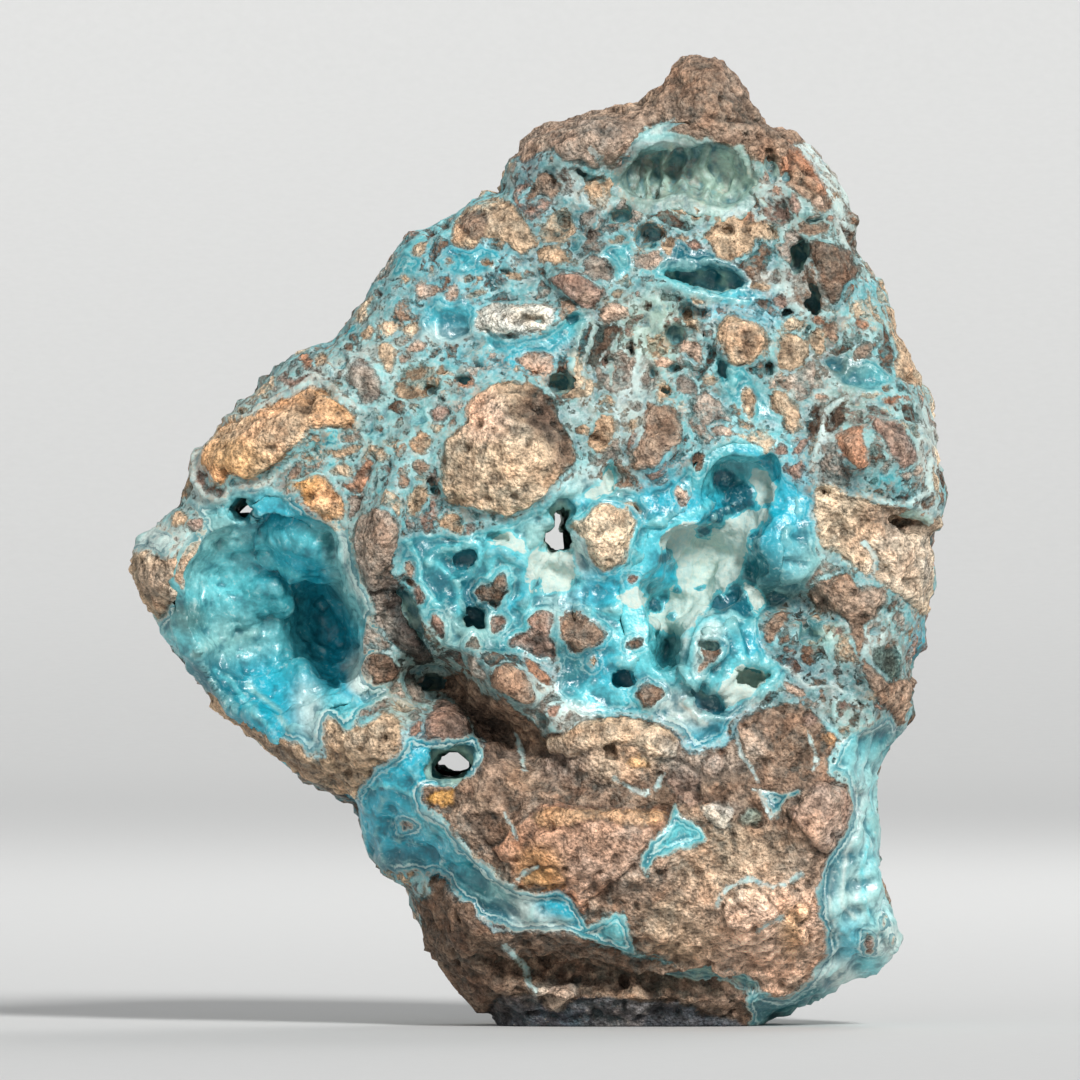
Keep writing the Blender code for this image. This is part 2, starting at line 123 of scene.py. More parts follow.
# %% Swellings and dips of the face, in millimetres
FACE_MIDDLE = 9.0       # x of the place where the face bulges most
FACE_HALF = 56.0        # from there to the side
FACE_FALL = 11.0        # how far it has dropped back at the side
MOUND, PLATEAU = 1, 3   # a soft top, and a flat one
# z, and how far forward the face stands there
FACE_PROFILE = rows("""-4 8, 1 10, 4 12.5, 8 14, 11.5 19, 16 21, 24 22, 34 21, 44 19, 56 18,
70 17.5, 80 15, 90 12, 99 9, 105 7, 110 8, 114 7, 118 6.5, 124 5.5""")
# x, z, half width, half height, turn, rise
FACE_FORMS = [
    (2, 75, 4.4, 2, -47, -1.7),         # broken corner of the large rounded fragment
    (3, 110.5, 10, 3.2, 14, 3.0),       # brown shoulder below the peak
    (21, 115, 5, 6, 0, 2.5),            # peak
    (33, 104.5, 4, 7, 25, 2.5),         # right of the upper hollow
    (36.5, 95, 3.5, 4, 0, 2.0),
    (-3.5, 72, 7.5, 8, 0, 3.0),         # the large rounded fragment itself
    (-34, 73, 9, 3.2, 24, 2.5),         # rusty fragment on the left
    (-19, 62, 3.2, 9, -12, 5.5),        # ridge beside the left hollow
    (-11.5, 50, 3.6, 6, 40, 3.0),
    (-4.5, 43.5, 6.5, 2.6, -38, 4.5),
    (-13.5, 43, 4.2, 3.2, 0, -8.0),     # shaded recess under the ridge
    (-5, 37, 8, 2.6, -36, -7.5),
    (-20, 36, 6, 4, 0, 2.0),
    (-46, 56.5, 6, 5, 0, 2.0),          # far left tip
    (42, 71.5, 7.0, 6.0, 0, 4.5),       # banded block on the right
    (43, 56, 5, 7, 0, 0.8),
    (30, 59.5, 4.5, 4.5, 0, 3.0),       # dome beside the middle hollow
    (30, 53, 5, 2.2, -10, -5.0),
    (42, 43.5, 3.2, 8, 28, 2.5),
    (8, 23, 13, 7, 0, 2.0),             # rusty mass low down
    (28, 15, 8, 6, 0, 1.6),
    (35, 26.5, 4.5, 4.5, 0, 2.0),
    (38, 17, 2.4, 12, 6, -2.2),         # seam down the lower right
    (-14, 20.5, 9, 3.4, -34, -7.0),     # scooped side low on the left
    (2, 56.5, 4, 3.5, 0, -3.0),
    (-4.5, 57.5, 4, 4, 0, 2.2),
    (-11, 60.5, 4, 3.2, 0, 1.8),
    (21.5, 47, 3.4, 4, -25, 2.5),       # ringed fragment
    (-2.5, 88, 5.5, 2.2, 0, 1.4),
    (4.8, 92, 4, 2, -25, 1.4),
    (25, 85, 3.5, 3.2, 0, 1.5),
    (15, 73, 3.4, 4.5, 0, 1.2),
    (8.5, 60.5, 3.5, 4, 0, 1.6),
    (10, 83, 5, 7, 0, -1.6),
    (-15, 84, 8, 5, 20, -1.2),
    (36, 84, 5, 5, 0, -1.4),
]
PROUD_FRAGMENTS = rows("""-3.8 71.8 8.4 8.6 0 1.6, -33.5 73.2 9.5 3.2 24 1.4,
-45.8 56.4 5 4.2 30 1.2, -29 66.2 3 2.6 -35 1, -20.8 35.8 5 3.4 -10 1.2, -11.8 38 2.9 2.2 0 1,
-19.8 44.9 2.5 2 0 1, -21 59 2.6 6.5 -14 1.2, -6.2 54.6 2.4 1.6 20 0.8, 1 49.2 3 2.8 0 1,
5 49.4 3 2.4 -30 0.9, -3.2 43 3 2 -25 1, 8.6 60.6 3.6 4 10 1.2, 14.4 73.4 3.6 4.6 0 1,
-2.8 88 4.6 1.8 0 1.1, 4.8 92.2 3.6 1.8 -25 1, 25 85.4 2.9 3 0 1.3, 36.8 94.6 2.9 3.6 -10 1.1,
38.8 71.8 2.4 2.4 0 1, 44 73 2.6 2.8 0 0.8, 43 58 5 5.2 20 1, 38.6 53.8 4.4 2.4 0 1,
30 49.2 2.4 2.2 40 0.9, 7 22.6 9 5 0 1.2, 26.2 14.4 3.5 3.2 0 1.1, 35 26.4 3.7 3.9 0 1.5,
22.2 26.2 2.3 1.7 0 1, 10.4 34.4 6.5 3.6 -6 1.2, 13.6 41.2 2 1.6 0 0.9, 29 36.5 4.6 3 0 1,
-10.8 12.4 3.6 5.5 14 1.2, 6 109.6 6.5 2.2 10 1, -22 81.2 2.4 2.2 0 0.8,
-8 99.5 2.2 2 0 0.8""")


def turned(x, z, angle):
    """Coordinates along and across a form turned by an angle in degrees."""
    cosine = math.cos(math.radians(angle))
    sine = math.sin(math.radians(angle))
    return x * cosine + z * sine, z * cosine - x * sine


def face_reach(x, z):
    """How far the face stands towards the viewer."""
    fall = FACE_FALL * ((x - FACE_MIDDLE) / FACE_HALF) ** 2
    reach = np.interp(z, *zip(*FACE_PROFILE)) - fall
    for forms, power in ((FACE_FORMS, MOUND), (PROUD_FRAGMENTS, PLATEAU)):
        for centre_x, centre_z, wide, high, angle, rise in forms:
            along, across = turned(x - centre_x, z - centre_z, angle)
            far = (along / wide) ** 2 + (across / high) ** 2
            reach = reach + rise * np.exp(-far ** power)
    return reach


print("At its middle the face stands", round(float(face_reach(0.0, 60.0)), 1), "mm forward")

# %% [markdown]
# ## Hollows, pits and holes
# Each hollow is a few overlapping egg shapes sunk in the face, with lumps left in
# it. Pits, grooves and the two slots over the foot have no lining. Three holes go
# right through the chunk, one of them drawn as two tunnels that run together. The
# back is where it broke from the wall, so it is trimmed by a few tilted flats.

# %% Openings, in millimetres
# x, z, half width, half height, turn, half depth, centre below the face
LEFT_POCKET = rows("""-27.5 50.5 5.4 9.5 18 17 3, -35 47.5 10.5 8.5 -38 10.5 0,
-37.5 54.5 6.5 8 20 8.5 0.5, -31 60 5.8 4.6 0 10 2""")
LEFT_LUMPS = rows("-28.4 60.8 6.4 4.8 -20 5.2 7.4, -35.5 53.5 4 2.8 10 3 10")
CENTRE_VUG = rows("""20.5 57 6.2 6.4 0 9.5 1.5, 24.6 65.4 4.9 6 -10 6.2 1.2, 16 52.8 4.2 4 20 9 2,
15.8 47.3 2.6 3.4 0 10 3, 17.2 60 2.6 2.6 0 6 0.5, 26 57 2.6 3.4 0 6 0.5,
28.4 67.6 2 3.4 0 5 0.5""")
CENTRE_LUMPS = [(24.6, 56.0, 2.6, 2.2, 0, 2.4, 8.5)]
TOP_VUG = rows("16 106.6 5.8 3.4 10 4.8 0.3, 21.8 106.2 3.4 3.9 0 4.4 0.3")
TOP_LUMPS = [(21.2, 106.0, 2.8, 2.8, 0, 1.8, 6.4)]
PITS = rows("""26 43.8 2.6 1.9 -22 4.3 1.5, 21 40.8 3 1.7 -30 1.9 0, 20 93 4.8 1.7 -12 3.1 1,
32.2 96 1.4 2.7 -8 3.7 1, 34 90.4 1.2 2.4 0 2.5 1, 2.2 80 1.8 1.5 20 3.1 1,
-8.4 50.8 2 1.2 -35 3.7 1, 46 62.6 4 1.5 -8 3.7 1.5, 28.7 107 1.1 2 0 1.9 0.5,
10 101 1.7 1.2 0 1.9 0.5, 13.4 98.3 1.4 1.4 0 1.9 0.5, 10.3 43.5 1.3 1.2 0 1.9 0.5,
4 6.6 13 2.4 -8 2.6 0.5, 20 5.4 9 1.9 -8 2.2 0.5""")
# the same numbers for pits too small for the model's own solids, and one groove
SMALL_PITS = rows("""-16.2 51.2 1.5 5 28 2.4 0.3, 25.7 104.8 1.3 0.7 25 1.5 0.3,
8 99.9 0.5 0.5 0 1.1 0.3, 6.8 98.4 0.9 0.6 0 1.3 0.3, 34.2 100.4 1.6 0.6 8 1.5 0.3,
22.6 81.8 0.8 1.4 12 1.7 0.3, -13.4 66.8 0.7 0.7 0 1.4 0.3, -13.4 79 0.8 0.7 0 1.3 0.3,
-9.6 80.3 0.9 0.6 -20 1.1 0.3, 35.8 66.3 0.9 0.7 0 1.7 0.3, -14 42.6 2.4 1.3 15 2.8 0.5,
7 73.2 1 0.5 -20 1 0.2, 18 89 0.9 1.4 20 1.4 0.3, 16.8 86 1.6 1.4 30 2.1 0.5,
20 88.8 0.8 0.6 30 1.1 0.2, 18.8 86.8 0.6 0.7 0 1 0.2, 14 81.6 0.5 0.6 0 1.1 0.2,
16.4 81.9 0.8 0.7 20 1.3 0.2, 15.6 79.2 0.8 0.6 0 1.1 0.2, 20.4 86 0.4 0.5 0 0.8 0.2,
23.4 98.9 0.7 0.6 0 1.1 0.2, 24 97.6 0.6 0.4 0 1 0.2, 28.9 98.6 0.3 0.9 10 1 0.2,
30.9 88.9 0.7 0.5 20 1.1 0.2, -3.8 86.2 0.6 0.5 0 1 0.2, -7 86.8 1 0.5 -10 1 0.2,
-0.4 88.1 2.2 0.4 0 1.1 0.2, -4 87.6 1.8 0.3 -5 0.8 0.2, -0.8 81.4 1.4 0.9 -20 1.4 0.2,
8.7 83 0.5 0.8 -15 1.1 0.2, 11.2 84.4 0.4 0.9 0 1 0.2, 5.4 106.2 1.3 0.4 -35 1.1 0.2,
-25 82.8 0.7 1 0 1.1 0.2, -29.2 76.8 0.8 0.4 -25 1 0.2, 21 47.4 1.3 0.9 -20 1.8 0.4,
33.6 48.8 1.4 1.2 0 1.7 0.3, 3.9 51.2 0.4 0.9 20 1.1 0.2, 8.6 34.4 0.9 0.8 0 1.3 0.2,
41.6 49.2 0.6 0.3 0 0.8 0.1, -4.4 94 0.7 0.4 -20 1 0.2, 3.6 88.4 0.8 0.4 0 0.8 0.2,
-7.6 82.2 0.9 0.3 -25 0.8 0.2, 28.4 81.6 0.5 0.9 0 1 0.2, -9 58.2 1.4 0.9 30 1.4 0.2,
-4.8 60.8 1.4 0.6 -15 1.3 0.2, 8.8 68.4 1 1.6 0 1.7 0.3, 40.9 10.4 0.5 1.1 10 0.6 0.1,
30.4 105.6 0.8 0.5 30 1 0.2, 31.6 107.2 0.4 0.7 0 0.8 0.2""")
# x, z, half width, half height, turn, lean
TUNNELS = rows("""-11 32.7 2.6 1.8 8 0.03, 2.45 63.2 1.1 1.9 0 -0.02, 2.2 60.7 1.9 1.8 0 -0.02,
-36.6 64.1 1.5 1 10 0.02""")
# outward direction and distance of each broken flat at the back
BROKEN_FACES = [
    ((0.22, 0.96, 0.10), 24.0), ((-0.36, 0.92, 0.12), 25.5), ((0.10, 0.80, 0.58), 38.0),
    ((0.42, 0.86, -0.26), 37.0), ((-0.30, 0.84, -0.42), 33.0),
]
print(len(PITS) + len(SMALL_PITS), "pits, grooves and slots, and", len(TUNNELS), "tunnels")

# %% [markdown]
# ## Rounded joins
# Joining two forms takes the larger of their depths at each sample, and cutting one
# from another takes the smaller. Taken plainly, both leave a corner as sharp as a
# machined part has, so a rounded version of them gives the soft corners of a stone.

# %% Rounded joins, in millimetres
SCOOP_BLEND = 2.0       # rounding between the scoops of a hollow
LUMP_BLEND = 1.6        # rounding round a lump left in a hollow
PIT_BLEND = 1.2         # rounding where a pit meets the surface
SMALL_PIT_BLEND = 0.5
ROOM = 5.5              # room left round a form for its rounding
OUTER_EDGE = 6.0        # rounding where the face meets the outer edge
EDGE_GROWTH = 0.15      # makes up for that rounding along the outline
BACK_EDGE = 5.0         # rounding where the broken flats meet the rest


def smooth_low(first, second, width):
    """Smaller of two fields, with the corner between them rounded."""
    blend = np.maximum(width - np.abs(first - second), 0.0) / width
    return np.minimum(first, second) - blend * blend * width * 0.25


def smooth_high(first, second, width):
    """Larger of two fields, with the corner between them rounded."""
    return -smooth_low(-first, -second, width)


print("Pits blend into the surface over", PIT_BLEND, "mm")

# %% [markdown]
# ## The carving block
# The block is a stack of evenly spaced samples. Each egg shape only changes the
# samples near it, so the block is worked on in small windows and stays quick. Noise
# with cells of a chosen size roughens everything, as real breaks do. The outer edge
# is sharp where the chunk is widest, and more worn in front of that and behind it.

# %% The carving block
WIDEST_Y = -1.0         # depth at which the chunk is widest
WANDER = 3.0            # how far that depth wanders along the edge
WEAR_REACH = 4.5        # the outline is averaged over this far,
WORN_AWAY = 12.0        # fully so at this distance from the widest place
MIDDLE_HEIGHT = 60.0    # height that the flats at the back are measured from
TUNNEL_Y = -12.0        # depth at which a tunnel is where its table says
NOISE_CELLS = 40        # noise repeats after this many cells
# cell, seed, height of each noise on the walls of hollows and of openings
HOLLOW_WALLS = ((4.3, 11, 1.0), (2.1, 12, 0.5))
OPENING_WALLS = ((2.3, 13, 0.45), (1.2, 14, 0.3))
# cell, seed of the broad swellings, the knobs and the chips
SWELLINGS, KNOBS, CHIPS = (15.0, 7), (7.0, 8), (3.6, 9)


class Carving:
    """A block of evenly spaced samples that forms are added to and cut from."""

    def __init__(self, low, high, step):
        self.low = np.array(low)
        self.step = step
        self.axes = [np.arange(a, b, step) for a, b in zip(low, high)]
        self.shape = tuple(len(axis) for axis in self.axes)
        x, y, z = [axis.astype(np.float32) for axis in self.axes]
        self.x, self.y, self.z = x[:, None, None], y[None, :, None], z[None, None, :]
        self.face = face_reach(self.x, self.z).astype(np.float32)

    def window(self, middle, halves):
        """The part of the block round one form, with room for its roundings."""
        part = []
        for axis, centre, half in zip(self.axes, middle, halves):
            ends = (centre - half - ROOM, centre + half + ROOM)
            part.append(slice(*np.searchsorted(axis, ends)))
        return tuple(part)

    def ellipsoid(self, form):
        """A window of the block and the depth inside one egg shape there."""
        centre_x, centre_z, wide, high, angle, deep, below = form
        centre_y = below - float(face_reach(centre_x, centre_z))
        reach = max(wide, high)
        part = self.window((centre_x, centre_y, centre_z), (reach, deep, reach))
        x, y, z = self.x[part[0]], self.y[:, part[1]], self.z[:, :, part[2]]
        along, across = turned(x - centre_x, z - centre_z, angle)
        into = y - centre_y
        scale = np.sqrt((along / wide) ** 2 + (into / deep) ** 2 + (across / high) ** 2)
        steep = np.sqrt((along / wide ** 2) ** 2 + (into / deep ** 2) ** 2
                        + (across / high ** 2) ** 2)
        return part, scale * (1.0 - scale) / np.maximum(steep, 1e-6)

    def tunnel(self, form):
        """Depth inside a hole that runs from the face to the back."""
        centre_x, centre_z, wide, high, angle, lean = form
        drift = lean * (self.y - TUNNEL_Y)
        along, across = turned(self.x - centre_x - drift,
                               self.z - centre_z - 0.5 * drift, angle)
        flare = 1.0 + 0.012 * np.abs(self.y + 4.0)
        scale = np.sqrt((along / (wide * flare)) ** 2 + (across / (high * flare)) ** 2)
        return (1.0 - scale) * min(wide, high)

    def hollow(self, scoops, lumps):
        """Depth inside an open hollow: scoops joined, less the lumps in it."""
        space = np.full(self.shape, -9.0, dtype=np.float32)
        for form in scoops:
            part, depth = self.ellipsoid(form)
            space[part] = smooth_high(space[part], depth, SCOOP_BLEND)
        for form in lumps:
            part, depth = self.ellipsoid(form)
            space[part] = smooth_low(space[part], -depth, LUMP_BLEND)
        return self.roughened(space, HOLLOW_WALLS)

    def openings(self):
        """Depth inside the holes and pits that have no lining."""
        space = self.tunnel(TUNNELS[0])
        for form in TUNNELS[1:]:
            space = np.maximum(space, self.tunnel(form))
        for forms, blend in ((PITS, PIT_BLEND), (SMALL_PITS, SMALL_PIT_BLEND)):
            for form in forms:
                part, depth = self.ellipsoid(form)
                space[part] = smooth_high(space[part], depth, blend)
        return self.roughened(space, OPENING_WALLS)

    def roughened(self, field, noises):
        """A field with noises added, each given by its cell, seed and height."""
        for cell, seed, height in noises:
            field = field + height * self.noise(cell, seed)
        return field

    def sample(self, field, points):
        """Values of a field at the samples nearest to some points."""
        spots = np.rint((points - self.low) / self.step).astype(int)
        spots = np.clip(spots, 0, np.array(self.shape) - 1)
        return field[tuple(spots.T)].astype(float)

    def noise(self, cell, seed):
        """Smooth noise from -1 to 1 over the whole block, in cells of one size."""
        values = np.random.default_rng(seed).uniform(-1.0, 1.0, (NOISE_CELLS,) * 3)
        for axis in self.axes:
            place = axis / cell
            start = np.floor(place)
            share = (place - start) ** 2 * (3.0 - 2.0 * (place - start))
            start = start.astype(int)
            weights = np.zeros((len(axis), NOISE_CELLS))
            spots = np.arange(len(axis))
            weights[spots, start % NOISE_CELLS] += 1.0 - share
            weights[spots, (start + 1) % NOISE_CELLS] += share
            values = np.tensordot(values, weights, axes=(0, 1))
        return values.astype(np.float32)

    def soften(self, layer, reach):
        """Average a layer over its neighbours, out to a reach in millimetres."""
        steps = np.arange(-2.5 * reach, 2.6 * reach, self.step)
        kernel = np.exp(-0.5 * (steps / reach) ** 2)
        kernel /= kernel.sum()
        half = len(kernel) // 2
        for axis in (0, 2):
            pad = [(0, 0)] * 3
            pad[axis] = (half, len(kernel) - 1 - half)
            wide = np.pad(layer, pad, mode="edge")
            layer = sum(share * np.take(wide, range(start, start + layer.shape[axis]), axis)
                        for start, share in enumerate(kernel))
        return layer.astype(np.float32)

    def chunk(self):
        """Depth inside the whole chunk before any hollow is cut."""
        swell = self.noise(*SWELLINGS)
        rough = 0.9 * self.noise(*KNOBS) + 0.55 * self.noise(*CHIPS)
        away = np.abs(self.y - WIDEST_Y - WANDER * swell)
        sharp = polygon_depth(self.x, self.z, OUTLINE).astype(np.float32) + EDGE_GROWTH
        worn = np.clip(away / WORN_AWAY, 0.0, 1.0)
        edge = sharp * (1.0 - worn) + self.soften(sharp, WEAR_REACH) * worn
        edge = edge - 0.008 * away ** 2 - away * (0.05 + 0.12 * swell + 0.08 * rough)
        front = self.y + self.face + 0.8 * swell + 0.5 * rough
        solid = smooth_low(edge, front, OUTER_EDGE)
        for direction, reach in BROKEN_FACES:
            plane = reach - (self.x * direction[0] + self.y * direction[1]
                             + (self.z - MIDDLE_HEIGHT) * direction[2])
            solid = smooth_low(solid, plane + 1.2 * swell + rough, BACK_EDGE)
        return solid


print("The carving block has", len(SWELLINGS + KNOBS + CHIPS) // 2, "sizes of roughness")

# %% [markdown]
# ## From samples to a surface
# The surface runs wherever the depth changes sign between two neighbouring samples.
# Each cell of eight samples that it passes gets one point, at the average of the
# crossings on its edges, and the points of four cells round a crossed edge make one
# face. That follows rounded forms well, with far fewer slivers than cutting each
# cell into triangles.

# %% Surface of a block
def surface(block, depth):
    """Points and four-cornered faces where the depth is zero."""
    inside = depth > 0.0
    count = np.zeros(tuple(size - 1 for size in block.shape), dtype=np.int8)
    for i, j, k in product((0, 1), repeat=3):
        count += inside[i:i + count.shape[0], j:j + count.shape[1], k:k + count.shape[2]]
    cells = np.argwhere((count > 0) & (count < 8))
    number = np.full(count.shape, -1, dtype=np.int32)
    number[tuple(cells.T)] = np.arange(len(cells))
    total = np.zeros((len(cells), 3))
    hits = np.zeros((len(cells), 1))
    for start in product((0, 1), repeat=3):
        for axis in range(3):
            if start[axis]:
                continue
            end = np.array(start)
            end[axis] = 1
            first = depth[tuple((cells + start).T)]
            last = depth[tuple((cells + end).T)]
            crosses = (first > 0.0) != (last > 0.0)
            share = np.where(crosses, first / np.where(crosses, first - last, 1.0), 0.0)
            spot = np.array(start) + share[:, None] * (end - np.array(start))
            total += spot * crosses[:, None]
            hits += crosses[:, None]
    points = block.low + block.step * (cells + total / hits)
    faces = []
    for axis in range(3):
        side, up = [(1, 2), (2, 0), (0, 1)][axis]
        ahead = [slice(None)] * 3
        behind = [slice(None)] * 3
        ahead[axis] = slice(1, None)
        behind[axis] = slice(None, -1)
        leaving = inside[tuple(behind)] & ~inside[tuple(ahead)]
        entering = ~inside[tuple(behind)] & inside[tuple(ahead)]
        for change, order in ((leaving, 1), (entering, -1)):
            spots = np.argwhere(change)
            around = []
            for beside, above in ((0, 0), (1, 0), (1, 1), (0, 1)):
                cell = spots.copy()
                cell[:, side] -= 1 - beside
                cell[:, up] -= 1 - above
                around.append(number[tuple(cell.T)])
            faces.append(np.stack(around[::order], axis=1))
    return points, np.concatenate(faces)


print("Carving tools ready after", round(time.time() - started, 1), "s")

# %% [markdown]
# ## Tints
# A few named colours are enough, because noise and relief break them up later. They
# are written as a paint shop would, from 0 to 255, and turned into the linear light
# that Blender mixes in. The rock runs from sand to umber with rusty iron stains. The
# mineral runs from ice, where it is thin, to deep teal, where it is thick.

# %% Named tints
def linear(red, green, blue):
    """Linear colour from one written as 0 to 255."""
    share = np.array([red, green, blue]) / 255.0
    return np.where(share <= 0.04045, share / 12.92, ((share + 0.055) / 1.055) ** 2.4)


TINT = {name: linear(*light) for name, *light in rows("""sand 214 190 160, tan 192 164 134,
    brown 150 124 104, umber 112 90 74, dark 84 68 58, rust 176 129 101, orange 208 160 116,
    pink 198 168 146, rose 150 124 110, blush 234 194 166, ochre 198 144 74, grey 150 138 126,
    white 222 218 204, slate 58 63 72, putty 176 164 150, soot 44 38 36,
    turquoise 74 176 184, vivid 20 182 206, bright 104 212 220, deep 6 100 116,
    dusk 34 112 118, pale 150 204 200, ice 212 228 220, sage 136 160 148, moss 84 108 102,
    mint 182 208 188, milk 190 208 204, foam 176 238 236""")}
print(len(TINT), "tints")

# %% [markdown]
# ## The rock fragments that can be told apart
# The larger fragments have shapes of their own, so each is an outline of a few
# corners with a tint and a rise. Big masses come first and the fragments inside them
# after, so that a later one shows on top. A semicolon ends each shape, and what is
# true of the whole shape stands before a colon. Only the outline is sharp: the
# finish makes it ragged.

# %% Masses and large fragments
def shapes(text):
    """Outlines or lines of points, each with the values that stand before its colon."""
    table = []
    for shape in text.split(";"):
        *start, points = shape.split(":")
        table.append((*rows(start[0])[0], rows(points)) if start else rows(points))
    return table


